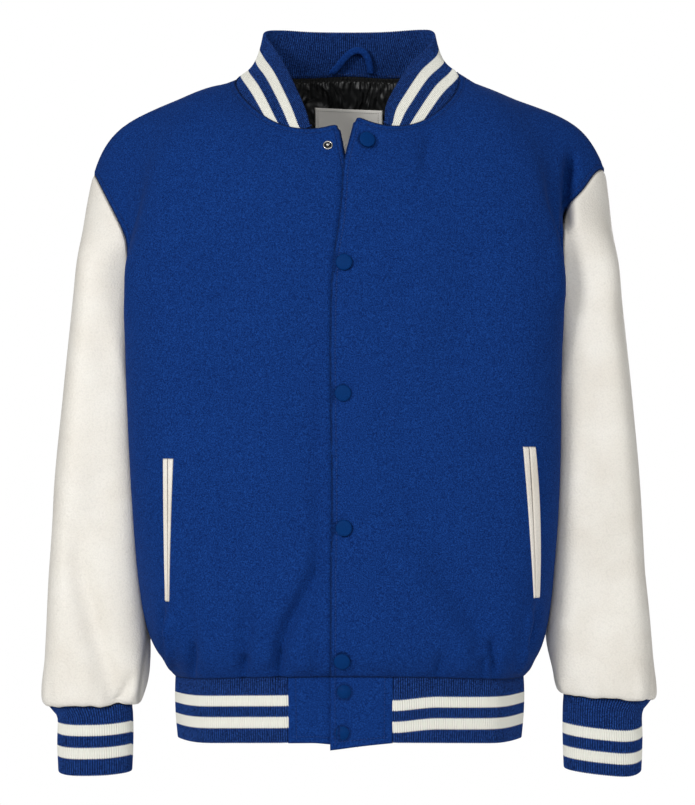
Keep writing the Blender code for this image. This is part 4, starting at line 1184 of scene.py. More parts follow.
def cut_panel(name, topstitched):
    """A panel's points, normals, faces, distance to its seams and to its topstitched ones."""
    own = faces[panels == PANELS.index(name)]
    used = np.unique(own)
    place = np.full(len(points), -1)
    place[used] = np.arange(len(used))
    seam = distance_to(smooth_points[used], seams_between(name, PANELS + [None]))
    if name.startswith("sleeve"):
        underarm = underarm_seam(RIGHT if name.endswith("right") else LEFT)
        seam = np.minimum(seam, nearest_gaps(smooth_points[used], underarm))
        if name.endswith("right"):
            wrist = wrist_seam(smooth_points[used], smooth_normals[used])
            seam = np.minimum(seam, WRIST_SHARE * wrist)
    # no topstitching along the hem, where the band is sewn on: its edges run level, down there
    rows = []
    for edge in seams_between(name, topstitched):
        across, _, drop = np.abs(np.subtract(*smooth_points[list(edge)]))
        if smooth_points[edge[0], 2] > HEM_SEAM_TOP or drop > across:
            rows.append(edge)
    stitch = distance_to(smooth_points[used], rows)
    spots = points[used].copy()
    if name in CORNERS:
        spots = round_corner(spots, name)
    roll = SEAM_ROLL[0] * np.exp(-(seam / SEAM_ROLL[1]) ** 2)
    if not name.startswith("sleeve"):
        # the wool rolls less at the hem, where the band draws it in
        roll *= 1 - 0.55 * smooth_step(-smooth_points[used][:, 2], 600, -HEM_SEAM_TOP)
    puff = PUFF_HEIGHT * np.exp(-((stitch - STITCH_INSET / 2) / PUFF_WIDTH) ** 2)
    puff -= STITCH_DENT * np.exp(-((stitch - STITCH_INSET) / DENT_WIDTH) ** 2)
    spots += normals[used] * (puff - roll)[:, None]
    return spots, normals[used], place[own], seam, stitch


# %% [markdown]
# A panel is one skin so far.  The Solidify modifier gives it the cloth's thickness inwards
# and puts the lining's material on the inner side.

# %% Make the five panels
WOOL_WALL = 2.2
LEATHER_WALL = 1.8
contours = []                  # lines for the topstitching, filled as the panels are cut


def contour_lines(spots, ways, own_faces, field, level):
    """Where a value stored at the points crosses a level, as lines with outward ways."""
    crossings, lines = {}, []
    for face in own_faces.tolist():
        met = []
        for step in range(4):
            here, after = sorted((face[step], face[(step + 1) % 4]))
            low, high = field[here] - level, field[after] - level
            if low * high < 0:
                if (here, after) not in crossings:
                    share = low / (low - high)
                    crossings[(here, after)] = (
                        len(crossings), spots[here] * (1 - share) + spots[after] * share,
                        ways[here] * (1 - share) + ways[after] * share)
                met.append(crossings[(here, after)][0])
        if len(met) == 2:
            lines.append(tuple(met))
    places = sorted(crossings.values(), key=lambda item: item[0])
    for chain in chain_edges(lines):
        if len(chain) > 8:
            contours.append((np.array([places[i][1] for i in chain]),
                             np.array([places[i][2] for i in chain])))


def solidified(piece, thickness):
    wall = piece.modifiers.new("wall", "SOLIDIFY")
    wall.thickness = thickness * MM
    wall.offset = -1
    wall.use_even_offset = False
    wall.material_offset = 1
    return piece


def settle(piece, slot, *nodes):
    """The calls that every finished piece needs."""
    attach(piece, BODY)
    if nodes:
        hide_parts(*nodes)
    return piece


cloth = {}
PANEL_SEAMS = {                # which of a panel's seams are topstitched
    "front_right": [None, "sleeve_right", "back"], "front_left": [None, "sleeve_left", "back"],
    "back": ["sleeve_right", "sleeve_left"], "sleeve_right": [], "sleeve_left": [],
}
for name, topstitched in PANEL_SEAMS.items():
    spots, ways, own_faces, seam, stitch = cut_panel(name, topstitched)
    of_wool = not name.startswith("sleeve")
    piece = add_mesh("cloth_" + name, spots, own_faces.tolist(), [melton if of_wool else cowhide, satin])
    # on the left front the snap caps are stored as seams too, so its material paints a shade ring round each
    # cap
    store(piece, "seam", np.minimum(seam, beside_caps(spots)) if name == "front_left" else seam)
    store(piece, "stitch", stitch)
    if topstitched:
        contour_lines(spots, ways, own_faces, stitch, STITCH_INSET)
    solidified(piece, WOOL_WALL if of_wool else LEATHER_WALL)
    cloth[name] = settle(piece, "wool" if of_wool else "leather", name)
    print(piece.name, triangles(piece), "triangles in its skin")

# %% [markdown]
# ## The knitted bands
#
# A rib band is one strip of knit, folded double and sewn on by its two raw edges.  It is
# made in two steps.  First a smooth strip is laid out: down the outside, round the fold
# and up the inside, with a fixed number of columns for each rib.  Then a Geometry Nodes
# tree pushes the ribs out of it.  The tree has its depth as a named input, so a heavier or
# a lighter knit is one number away.

# %% The tree that raises the ribs
def start_tree(name, inputs):
    """A tree with named inputs after its geometry: itself, its input node, and their identifiers."""
    tree = bpy.data.node_groups.new(name, "GeometryNodeTree")
    tree.interface.new_socket("Geometry", in_out="INPUT", socket_type="NodeSocketGeometry")
    keys = [tree.interface.new_socket(label, in_out="INPUT", socket_type="NodeSocket" + kind).identifier
            for label, kind in inputs.items()]
    tree.interface.new_socket("Geometry", in_out="OUTPUT", socket_type="NodeSocketGeometry")
    return tree, add(tree, "NodeGroupInput"), keys


def end_tree(tree, geometry, material):
    """Make a tree's geometry real, dress it in a material and hand it out."""
    real = add(tree, "GeometryNodeRealizeInstances", {"Geometry": geometry})
    dressed = add(tree, "GeometryNodeSetMaterial", {"Geometry": real.outputs[0], "Material": material})
    add(tree, "NodeGroupOutput", {"Geometry": dressed.outputs[0]})


def rib_tree():
    tree, given, keys = start_tree("raise_ribs", {"Rib Depth": "Float", "Knit": "Material"})
    knit = add(tree, "GeometryNodeInputNamedAttribute", {"Name": "knit"}, data_type="FLOAT_VECTOR")
    ribs = add(tree, "ShaderNodeSeparateXYZ", {0: knit.outputs[0]})
    wave = rib_crown(tree, ribs.outputs["X"])
    crown = add(tree, "ShaderNodeMath", {0: wave.outputs[0], 1: 0.6}, operation="POWER")
    sunk = add(tree, "ShaderNodeMath", {0: crown.outputs[0], 1: 1.0}, operation="SUBTRACT")
    sunk = add(tree, "ShaderNodeMath", {0: sunk.outputs[0], 1: given.outputs["Rib Depth"]},
               operation="MULTIPLY")
    outwards = add(tree, "GeometryNodeInputNormal")
    shift = add(tree, "ShaderNodeVectorMath", {0: outwards.outputs[0], "Scale": sunk.outputs[0]},
                operation="SCALE")
    ribbed = add(tree, "GeometryNodeSetPosition", {"Geometry": given.outputs["Geometry"],
                                                   "Offset": shift.outputs[0]})
    end_tree(tree, ribbed.outputs[0], given.outputs["Knit"])
    return tree, *keys


def through_tree(piece, tree, values):
    """Run a Geometry Nodes tree on a piece and keep the result as its plain mesh."""
    step = piece.modifiers.new("nodes", "NODES")
    step.node_group = tree
    for identifier, value in values.items():
        step[identifier] = value
    made = piece.evaluated_get(bpy.context.evaluated_depsgraph_get())
    mesh = bpy.data.meshes.new_from_object(made)
    piece.modifiers.remove(step)
    piece.data = mesh
    return piece


RIB_TREE, RIB_DEPTH_INPUT, RIB_KNIT_INPUT = rib_tree()
RIB_COLUMNS = 6                # points across each rib
RIB_DEPTH = 1.0                # millimetres from a rib's crown to the groove beside it
print("Tree inputs:", RIB_DEPTH_INPUT, RIB_KNIT_INPUT)


# %% A smooth curve through rows of points, and even columns
def smooth_rows(rows, shares, at):
    """Rows at some places in between given rows, on a smooth curve through them."""
    rows, shares = np.asarray(rows, float), np.asarray(shares, float)
    last = len(shares) - 1
    upper, lower = np.minimum(np.arange(last + 1) + 1, last), np.maximum(np.arange(last + 1) - 1, 0)
    slope = (rows[upper] - rows[lower]) / (shares[upper] - shares[lower])[:, None, None]
    after = np.clip(np.searchsorted(shares, at), 1, last)
    span = (shares[after] - shares[after - 1])[:, None, None]
    run = (np.asarray(at) - shares[after - 1])[:, None, None] / span
    return ((2 * run ** 3 - 3 * run ** 2 + 1) * rows[after - 1]
            + (run ** 3 - 2 * run ** 2 + run) * span * slope[after - 1]
            + (3 * run ** 2 - 2 * run ** 3) * rows[after]
            + (run ** 3 - run ** 2) * span * slope[after])


def even_columns(grid, pitch, columns, closed=False, guide=None):
    """The same rows with even columns, a whole number of ribs with so many columns each."""
    middle = grid[len(grid) // 2 if guide is None else guide]
    if closed:
        grid = np.concatenate([grid[:, -2:], grid, grid[:, :3]], axis=1)
        middle = np.concatenate([middle, middle[:1]])
    runs = np.concatenate([[0], np.cumsum(np.linalg.norm(np.diff(middle, axis=0), axis=1))])
    count = int(round(runs[-1] / pitch)) * columns
    even = np.linspace(0, runs[-1], count, endpoint=False) if closed else np.linspace(0, runs[-1], count + 1)
    places = np.interp(even, runs, np.arange(len(runs)))
    shares = np.arange(grid.shape[1]) - (2 if closed else 0)
    return smooth_rows(grid.transpose(1, 0, 2), shares, places).transpose(1, 0, 2)


# %% Lay a folded strip out, and send it through the tree
FOLD_STEPS = 5
BAND_ROWS = 16                 # rows from the seam to the fold


def strip_normals(grid, closed):
    """Outward ways of a grid whose rows run round the body and down."""
    if closed:
        around = np.roll(grid, -1, axis=1) - np.roll(grid, 1, axis=1)
    else:
        around = np.gradient(grid, axis=1)
    down = np.gradient(grid, axis=0)
    return unit(np.cross(down, around))


def rib_band(name, grid, thickness, closed, knit_material, node, turn, shift=0.0):
    """A folded band from a grid of outer points, row 0 at the seam and the last at the fold.

    turn is 1 where the columns run round so that "down, then on" faces outwards, else -1.
    shift moves the stripes towards the fold, one number or one for each column.
    """
    fold_way = unit(grid[-1] - grid[-2])
    grid = grid - fold_way * (thickness / 2) * ROW_PLACES[:, None, None]
    ways = strip_normals(grid, closed) * turn
    runs = np.linalg.norm(np.diff(grid, axis=0), axis=2)
    to_fold = np.vstack([np.cumsum(runs[::-1], axis=0)[::-1], np.zeros((1, grid.shape[1]))])
    rows = list(grid)
    distances = list(to_fold)
    for step in range(1, FOLD_STEPS):
        angle = math.pi * step / FOLD_STEPS
        rows.append(grid[-1] + ways[-1] * (thickness / 2) * (math.cos(angle) - 1)
                    + fold_way * (thickness / 2) * math.sin(angle))
        distances.append(-0.5 * step * np.ones(grid.shape[1]))
    rows += list((grid - ways * thickness)[::-1])
    distances += list(-3 - to_fold[::-1])
    loop, width = len(rows), grid.shape[1]
    made_faces = []
    for row in range(loop):
        below = (row + 1) % loop
        for step in range(width if closed else width - 1):
            after = (step + 1) % width
            face = (row * width + step, below * width + step, below * width + after, row * width + after)
            made_faces.append(face if turn > 0 else face[::-1])
    if not closed:
        first = tuple(row * width for row in range(loop))
        last = tuple(row * width + width - 1 for row in range(loop))
        made_faces += [first[::-1], last] if turn > 0 else [first, last[::-1]]
    piece = add_mesh(name, np.array(rows).reshape(-1, 3), made_faces, [knit_material])
    ribs = np.tile(np.arange(width) / RIB_COLUMNS, loop)
    down = (np.array(distances) + shift).ravel()
    knit = np.stack([ribs, down, np.zeros(loop * width)], 1)
    store(piece, "knit", knit)
    through_tree(piece, RIB_TREE, {RIB_DEPTH_INPUT: RIB_DEPTH * MM, RIB_KNIT_INPUT: knit_material})
    piece.data.shade_smooth()
    print(name, width // RIB_COLUMNS, "ribs,", triangles(piece), "triangles")
    return settle(piece, "rib", node)


# %% [markdown]
# ### The hem band and its tabs
#
# The band is gathered on to the body from one front tab round the back to the other.  The
# tabs at its ends are plain wool, stiffened inside and stitched all round, because the
# last two snaps have to sit on something that doesn't stretch.

# %% Lay out the hem, and split it into the band and the tabs
def rim_distance(grid):
    """For each point of a grid, its distances to the two side rims and to the end rims."""
    along = np.cumsum(np.linalg.norm(np.diff(grid, axis=1, prepend=grid[:, :1]), axis=2), axis=1)
    down = np.cumsum(np.linalg.norm(np.diff(grid, axis=0, prepend=grid[:1]), axis=2), axis=0)
    return along, along[:, -1:] - along, down, down[-1:] - down


HEM_MARGIN = 12                # how far below the lowest section its open edge may lie


def hem_chain():
    """The body's lower edge from the right front's edge round the back to the left's."""
    low = LEVELS[0].z - LEVELS[0].dip - HEM_MARGIN
    chain = max(chain_edges(open_edges(BODY_PANELS, low, LEVELS[0].z + 0.5)), key=len)
    under = np.array(edge_point(EDGES[0], RIGHT, LEVELS[0]))
    if np.linalg.norm(smooth_points[chain[0]] - under) > np.linalg.norm(smooth_points[chain[-1]] - under):
        chain = chain[::-1]
    return chain


def hem_drop(share, from_edge):
    """How far below the seam a place on the band is, near the edges and at the sides."""
    return share * (HEM_HEIGHT + TAB_DROP * max(0.0, 1 - from_edge))


RIGHT_TAB_SHORTER = 0.35       # the under tab doesn't reach below the upper one
chain = hem_chain()
tab_links = TAB_STEPS * 2 ** (SURFACE_LEVEL - 1)
seam_row = smooth_points[chain]
from_edge = np.minimum(np.arange(len(chain)) + RIGHT_TAB_SHORTER * tab_links,
                       np.arange(len(chain))[::-1]) / tab_links
# the band is sewn to the folded edge, so its top follows the folds and soon lets go of them
seam_folds = points[chain] - seam_row
FOLLOW = 5.0                   # how fast a band lets go of the folds, over its own height
HEM_TUCK_UP, HEM_TUCK_SHARE = 1.4, 0.05
hem_rows = []
for share in HEM_ROWS:
    taper = 1 + (HEM_TAPER - 1) * share
    drop = np.array([hem_drop(share, gap) for gap in from_edge])
    drop -= 0.55 * share * HEM_SIDE_RISE * (seam_row[:, 0] / LEVELS[0].half_left) ** 2
    hem_rows.append(seam_row * (taper, taper, 1) - np.outer(drop, (0, 0, 1)))
ROW_PLACES = np.linspace(0, 1, BAND_ROWS)
hem_grid = smooth_rows(hem_rows, HEM_ROWS, ROW_PLACES)
hem_grid += seam_folds * np.exp(-FOLLOW * ROW_PLACES)[:, None, None]
# its first rows are tucked up behind the body
hem_grid[:, :, 2] += HEM_TUCK_UP * np.exp(-(ROW_PLACES[:, None] / HEM_TUCK_SHARE) ** 2)
print("Hem seam:", len(chain), "points,", tab_links, "of them along each tab")


# %% The knitted part of the hem
SEAM_SHARE = 0.09              # the share of a band's height over which it is drawn in


def bulged(grid, closed, turn, inset, height):
    """A band that is drawn in at its seam and stands a little round below it."""
    lift = height * np.sin(ROW_PLACES * math.pi)
    lift -= inset * np.exp(-(ROW_PLACES / SEAM_SHARE) ** 2)
    return grid + strip_normals(grid, closed) * turn * lift[:, None, None]


HEM_PITCH = 2.4
HEM_WALL = 3.2
BAND_END_SUNK, BAND_END_REACH = 2.6, 6.0   # how its ends dip in under the tabs
band = even_columns(hem_grid[:, tab_links - 1:1 - tab_links], HEM_PITCH, RIB_COLUMNS)
band = bulged(band, False, -1, inset=0.3, height=1.2)
sunk = BAND_END_SUNK * np.exp(-(np.minimum(*rim_distance(band)[:2]) / BAND_END_REACH) ** 2)
band += strip_normals(band, False) * sunk[..., None]
# the stripes lie nearer the fold towards the left tab
sides = np.linspace(0, 1, band.shape[1])
pull = 1.2 * smooth_step(sides, 0.78, 0.92) + 4.2 * smooth_step(sides, 0.94, 1.0)
cloth["hem_rib"] = rib_band("band_hem", band, HEM_WALL, False, hem_knit, "hem_rib", -1, pull)

# %% [markdown]
# ### Tabs
#
# A tab is two layers of wool round a stiffener.  It is made as a pillow: two copies of a
# grid that stand apart by the thickness and meet along their rim, with the rim rounded
# like the folded edge of thick cloth.  The same helper makes the label, the welts and the
# hanger loop, which are all thin strips with two faces.

# %% A thin piece with a rounded rim
def pillow(name, grid, ways, thickness, rim, materials, relief=None):
    """Two skins either side of a grid, joined and rounded along its rim."""
    rows, columns = grid.shape[:2]
    gap = np.minimum.reduce(rim_distance(grid))
    half = 0.5 * thickness * np.sqrt(np.clip(1 - (1 - np.minimum(gap / rim, 1)) ** 2, 0, 1))
    front = half + (0 if relief is None else relief * (gap > 0))
    places = np.arange(rows * columns).reshape(rows, columns)
    behind = places + rows * columns
    edge = gap <= 1e-9
    behind[edge] = places[edge]
    made_faces = []
    for row in range(rows - 1):
        for column in range(columns - 1):
            for skin, order in ((places, (0, 1, 2, 3)), (behind, (3, 2, 1, 0))):
                square = (skin[row, column], skin[row + 1, column],
                          skin[row + 1, column + 1], skin[row, column + 1])
                made_faces.append([int(square[corner]) for corner in order])
    spots = np.concatenate([(grid + ways * front[..., None]).reshape(-1, 3),
                            (grid - ways * half[..., None]).reshape(-1, 3)])
    piece = add_mesh(name, spots, made_faces, materials)
    # the copies of the rim's points on the back skin belong to no face
    loose = np.setdiff1d(np.arange(len(spots)), np.unique(np.concatenate(made_faces)))
    trim = bmesh.new()
    trim.from_mesh(piece.data)
    trim.verts.ensure_lookup_table()
    bmesh.ops.delete(trim, geom=[trim.verts[int(index)] for index in loose], context="VERTS")
    trim.to_mesh(piece.data)
    trim.free()
    piece.data.shade_smooth()
    return piece, np.delete(np.concatenate([np.arange(rows * columns)] * 2), loose)


def store_on_pillow(piece, picks, name, values):
    """Store a value of the grid on both skins of a pillow."""
    store(piece, name, values.reshape(-1)[picks])


# %% The two tabs
TAB_WALL = 3.6
TAB_RIM = 2.4                  # how far in its rounded rim reaches
TAB_STITCH = {"side": 8.5, "edge": 5.6, "bottom": 6.5}
TAB_CLEAR = 5.0                # stitches stay this far from its rims


def hem_tab(name, grid, node, first_is_edge):
    """A tab from its part of the hem's grid; first_is_edge where column 0 is the front edge."""
    rows, columns = 40, 52
    fine = smooth_rows(grid, ROW_PLACES, np.linspace(0, 1, rows))
    fine = smooth_rows(fine.transpose(1, 0, 2), np.arange(fine.shape[1]),
                       np.linspace(0, fine.shape[1] - 1, columns)).transpose(1, 0, 2)
    ways = -strip_normals(fine, False)
    first, last, top, bottom = rim_distance(fine)
    edge, side = (first, last) if first_is_edge else (last, first)
    from_rim = {"edge": edge, "side": side, "bottom": bottom}
    off = {rim: np.abs(gap - TAB_STITCH[rim]) for rim, gap in from_rim.items()}
    # a row stops where it meets the next one, so it is far off outside that
    past = {rim: 9 * (gap < TAB_STITCH[rim] - 0.5) for rim, gap in from_rim.items()}
    rows_off = np.minimum.reduce([off["edge"] + past["bottom"], off["side"] + past["bottom"],
                                  off["bottom"] + past["edge"] + past["side"]])
    relief = -0.95 * np.exp(-(rows_off / 1.5) ** 2) - 0.9 * np.exp(-(top / 2.2) ** 2)
    middle = fine - ways * TAB_WALL / 2
    piece, picks = pillow(name, middle, ways, TAB_WALL, TAB_RIM, [melton], relief)
    # the tab's top seam and a ring round each snap cap are stored as seams, so the wool paints shade there
    ring = beside_caps(fine.reshape(-1, 3)).reshape(top.shape)
    store_on_pillow(piece, picks, "seam", np.minimum(top, ring))
    store_on_pillow(piece, picks, "stitch", rows_off + STITCH_INSET)
    outer = fine + ways * relief[..., None]
    inside = np.minimum.reduce([first, last, bottom]) > TAB_CLEAR
    for cut in ((slice(1, None), np.argmin(off["edge"][rows // 2])),
                (slice(1, None), np.argmin(off["side"][rows // 2])),
                (np.argmin(off["bottom"][:, columns // 2]), slice(None))):
        keep = inside[cut]
        contours.append((outer[cut][keep], ways[cut][keep]))
    print(name, triangles(piece), "triangles")
    return settle(piece, "wool", node)


cloth["hem_tab_right"] = hem_tab("tab_right", hem_grid[:, :tab_links + 1], "hem_tab_right", True)
cloth["hem_tab_left"] = hem_tab("tab_left", hem_grid[:, -tab_links - 1:], "hem_tab_left", False)

# %% [markdown]
# ### Cuffs
#
# A cuff is a closed tube of the same knit, drawn in a little on its outer side just below
# the leather, which puffs out over it.  Its own seam runs down the inner side, and the
# stripes don't quite meet there.

# %% Lay out and knit the cuffs
CUFF_PITCH = 2.55
CUFF_KNIT_WALL = 3.4
CUFF_STEP = 1.3                # how far the stripes miss each other at the cuff's seam
CUFF_OUTER_RISE = {RIGHT: 2.0, LEFT: 6.0}  # how much its lower corners are rounded up
CUFF_INNER_RISE = {RIGHT: 2.5, LEFT: 1.6}
CUFF_FLARE = 5.0               # how far its outer side spreads to meet the leather
CUFF_SEAM_PLACE = {RIGHT: 0.44, LEFT: 0.56}   # where its own seam is, as a share of the way round
CUFF_SEAM_DENT, CUFF_SEAM_WIDTH = 0.9, 3.0    # its depth, and its width in columns
CUFF_SHIFT = {RIGHT: -4.9, LEFT: 0.0}      # the right cuff's stripes lie higher


CUFF_SEAM_RANGE = (-720, -600)             # the heights between which its seam is looked for


def cuff_grid(side):
    """The cuff's outer surface, from the sleeve's folded end down to the cuff's own fold."""
    edge = max(chain_edges(open_edges(["sleeve_" + SIDES[side]], *CUFF_SEAM_RANGE)), key=len)[:-1]
    ring, folds = smooth_points[edge], points[edge] - smooth_points[edge]
    start = int(np.argmax(np.abs(ring[:, 0])))
    ring, folds = np.roll(ring, -start, axis=0), np.roll(folds, -start, axis=0)
    if ring[2][1] > ring[-2][1]:
        ring, folds = np.roll(ring[::-1], 1, axis=0), np.roll(folds[::-1], 1, axis=0)
    centre = ring.mean(axis=0)
    half = np.abs(ring[:, 0] - centre[0]).max()
    rows = []
    out = side * (ring - centre)[:, 0] / half  # 1 on the outer side and -1 on the inner one
    rise = CUFF_OUTER_RISE[side] * np.clip(out, 0, 1) ** 4
    rise += CUFF_INNER_RISE[side] * np.clip(-out, 0, 1) ** 2
    for share in CUFF_ROWS:
        taper = 1 + (CUFF_TAPER - 1) * share
        row = centre + (ring - centre) * (taper, taper, 1)
        row[:, 0] -= side * CUFF_NECK / 2 * min(share / CUFF_ROWS[1], 1) * (1 + out)
        row[:, 2] -= share * (CUFF_HEIGHTS[side] - rise)
        rows.append(row)
    return smooth_rows(rows, CUFF_ROWS, ROW_PLACES) + folds * np.exp(-FOLLOW * ROW_PLACES)[:, None, None]


for side, name in SIDES.items():
    turn = -side
    grid = even_columns(cuff_grid(side), CUFF_PITCH, RIB_COLUMNS, closed=True)
    grid = bulged(grid, True, turn, inset=0.6, height=0.9)
    outer = np.clip(side * (grid[:, :, 0] - grid[:, :, 0].mean()) / np.ptp(grid[0, :, 0]) * 2, 0, 1)
    grid[:, :, 0] += side * CUFF_FLARE * outer * np.exp(-(ROW_PLACES[:, None] / 0.11) ** 2)
    seam_column = grid.shape[1] * CUFF_SEAM_PLACE[side]
    columns = np.arange(grid.shape[1])
    step = CUFF_STEP * smooth_step(columns, seam_column - 2, seam_column + 2)
    step += CUFF_SHIFT[side] - CUFF_STEP * columns / grid.shape[1]
    dent = CUFF_SEAM_DENT * np.exp(-((columns - seam_column) / CUFF_SEAM_WIDTH) ** 2)
    grid = grid - strip_normals(grid, True) * turn * dent[None, :, None]
    cloth["cuff_" + name] = rib_band("band_cuff_" + name, grid, CUFF_KNIT_WALL, True, cuff_knit,
                                     "cuff_" + name, turn, step)

# %% [markdown]
# ### Collar
#
# The collar stands up round the nape and runs down to the two front corners, where the
# neck seam cuts its stripes off one after the other.  Each column is a short curve from the
# seam to the fold, given at eight places on each side, and a smooth curve through those
# places gives all the columns in between.

# %% Lay out the collar from its stations
Station = namedtuple("Station", "seam x y z hold_x hold_y hold_z")
COLLAR = {
    RIGHT: [
        Station(4.0, 0, 70, 53.5, 0, 70, 27),
        Station(3.5, 38, 68, 53.5, 36, 65, 27),
        Station(3.0, 71, 58, 54.0, 63, 56, 21),
        Station(2.5, 89, 36, 50.0, 94, 34, 10),
        Station(2.0, 81, 8, 35.0, 97, 0, 2),
        Station(1.5, 66, -28, 11.0, 88, -44, -14),
        Station(1.0, 51, -63, -22.0, 62, -72, -38),
        Station(0.7, 43, -80, -42.0, 48, -82, -50),
    ],
    LEFT: [
        Station(4.0, 0, 70, 53.5, 0, 70, 27),
        Station(3.5, 38, 68, 53.5, 36, 65, 27),
        Station(3.0, 77, 57, 54.5, 66, 56, 21),
        Station(2.5, 92.5, 39, 50.5, 97, 35, 11),
        Station(2.0, 87, 6, 34.0, 101, 0, 8),
        Station(1.5, 66.5, -30, 12.0, 89, -44, -12),
        Station(1.0, 48.5, -63, -18.0, 62, -72, -36),
        Station(0.7, 40, -80, -37.0, 47, -82, -46),
    ],
}
COLLAR_END = 0.42                          # the seam place where the collar runs out
COLLAR_END_RISE = 2.5
COLLAR_SUNK = 2.2                          # how far its first rows sink behind the neck's edge
COLLAR_PITCH = 2.2
COLLAR_KNIT_WALL = 3.6


def neck_line():
    """The neckline from the left front's corner round the nape to the right front's."""
    chain = max(chain_edges(open_edges(BODY_PANELS, -66, 20)), key=len)
    line = smooth_points[chain]
    first, last = (int(np.argmin(np.linalg.norm(line - np.array(corner), axis=1)))
                   for corner in (OVER_CORNER, UNDER_CORNER))
    if first > last:
        line, first, last = line[::-1], len(line) - 1 - first, len(line) - 1 - last
    return line[first:last + 1]


def collar_grid():
    line = neck_line()
    links = (len(line) - 1) / 8
    stations = [(8 - station.seam if side == RIGHT else station.seam, side, station)
                for side in (LEFT, RIGHT) for station in COLLAR[side]
                if side == LEFT or station.seam < 4]
    stations.sort(key=lambda item: item[0])
    shares = [item[0] for item in stations]
    holds = [[(side * station.hold_x, station.hold_y, station.hold_z)]
             for _, side, station in stations]
    tops = [[(side * station.x, station.y, station.z)] for _, side, station in stations]
    ends = [COLLAR_END, 8 - COLLAR_END]
    for end, place in zip(ends, (0, len(shares) + 1)):
        foot = line[int(round(end * links))]
        shares.insert(place, end)
        holds.insert(place, [foot + (0, 0, COLLAR_END_RISE / 2)])
        tops.insert(place, [foot + (0, 0, COLLAR_END_RISE)])
    at = np.linspace(*ends, 240)
    hold = smooth_rows(holds, shares, at)[:, 0]
    top = smooth_rows(tops, shares, at)[:, 0]
    foot = np.stack([np.interp(at * links, np.arange(len(line)), line[:, axis])
                     for axis in range(3)], 1)
    share = ROW_PLACES[:, None, None]
    return (1 - share) ** 2 * foot + 2 * share * (1 - share) * hold + share ** 2 * top


grid = even_columns(collar_grid(), COLLAR_PITCH, RIB_COLUMNS, guide=len(ROW_PLACES) - 5)
grid = bulged(grid, False, -1, inset=1.3, height=0.6)
grid[:, :, 2] -= COLLAR_SUNK * np.exp(-(ROW_PLACES[:, None] / 0.08) ** 2)
# the stripes lie nearer the fold on its left side
ends = np.linspace(0, 1, grid.shape[1])
collar_shift = 1.0 * smooth_step(ends, 0.0, 0.06) * (1 - smooth_step(ends, 0.30, 0.42))
collar_shift += 2.0 * np.exp(-((ends - 0.03) / 0.04) ** 2) + 1.5 * np.exp(-((ends - 0.26) / 0.05) ** 2)
cloth["collar_rib"] = rib_band("band_collar", grid, COLLAR_KNIT_WALL, False, collar_knit,
                               "collar_rib", -1, collar_shift)

# %% [markdown]
# ## Inside the neck
#
# A band of satin is gathered into the neck seam and stitched down, and below it the satin
# hangs loose.  It is made from the back panel's own faces, divided finer, and moved into
# the jacket by the height of its gathers and wrinkles.

# %% The lining's wrinkles
LINING_CLEAR = WOOL_WALL + 0.6 # the wool's thickness, and the air behind the satin
LINING_LOWEST = -118           # the heights and the widths that it is cut off at
LINING_WIDEST = 118
SATIN_WALL = 0.5
GATHER_BAND = 7.4              # millimetres from the neck seam to the row of stitches
GATHER_PITCH = 3.6


def lining_height(x, z, drop):
    """How far the satin stands off the wool, from its place and its drop below the seam."""
    wander = noise.noise((x / 21, z / 24, 2.0)) * 5
    if drop < 1.2:
        return 2.4
    if drop < GATHER_BAND:
        swell = math.sin(math.pi * drop / GATHER_BAND)
        return 0.4 + 1.5 * swell * (0.65 + 0.35 * math.sin(2 * math.pi * (x + wander) / GATHER_PITCH))
    fall = drop - GATHER_BAND
    near = math.exp(-fall / 9)
    bend = noise.noise((x / 30, z / 26, 7.0)) * 20 + fall * 0.5 * noise.noise((x / 45, 1.0, 4.0))
    fine = abs(math.sin(math.pi * (x + bend) / 8.2)) ** 1.4
    coarse = noise.noise(((x + bend) / 11, z / 30, 5.0)) + 0.5 * noise.noise(((x + z * 0.5) / 7, z / 17, 9.0))
    height = 0.9 + near * 1.1 * math.sin(2 * math.pi * (x + wander) / (GATHER_PITCH * 1.5))
    grow = min(fall / 7, 1)
    return max(height + grow * (1.3 * fine + 3.6 * coarse + 1.2), 0.2)


# %% Cut, divide and wrinkle the lining
def lining_faces():
    chosen = []
    for face in faces[panels == PANELS.index("back")]:
        middle = smooth_points[face].mean(axis=0)
        if middle[2] > LINING_LOWEST and abs(middle[0]) < LINING_WIDEST:
            chosen.append(face)
    return np.array(chosen)


chosen = lining_faces()
used = np.unique(chosen)
place = np.full(len(smooth_points), -1)
place[used] = np.arange(len(used))
fine_points, fine_faces, _ = subdivided(smooth_points[used], place[chosen].tolist(), 2,
                                        subdivision_type="SIMPLE")
fine_ways = point_normals(fine_points, fine_faces)
neck_edges = [edge for edge in borders[("back", None)] if smooth_points[edge[0]][2] > -30]
drops = distance_to(fine_points, neck_edges)
heights = np.array([lining_height(x, z, drop) for (x, _, z), drop in zip(fine_points, drops)])
satin_points = fine_points - fine_ways * (LINING_CLEAR + heights)[:, None]
satin_points[:, 2] += 2.0 * np.exp(-(drops / 1.5) ** 2)
piece = add_mesh("satin_lining", satin_points, fine_faces[:, ::-1].tolist(), [satin])
solidified(piece, SATIN_WALL)
cloth["lining"] = settle(piece, "satin", "lining_back")
smooth_satin = BVHTree.FromPolygons((fine_points - fine_ways * LINING_CLEAR).tolist(),
                                    fine_faces.tolist())
print("Lining:", triangles(piece), "triangles, gathers to", round(heights.max(), 1), "mm")


# %% [markdown]
# ### Label and hanger loop
#
# The label is a bare grey tape, stitched down near its edges.  The hanger loop is a strip
# of the body's wool folded to a narrow tube, so it is round at its edges and has the
# fold's seam along it.

# %% Rows and columns cast on to a surface
OUTSIDE, INSIDE = -400, -40    # the y that a line starts from, in front of the jacket or in it
INWARDS = (0.0, -1.0, 0.0)     # the way that the lining and the label face


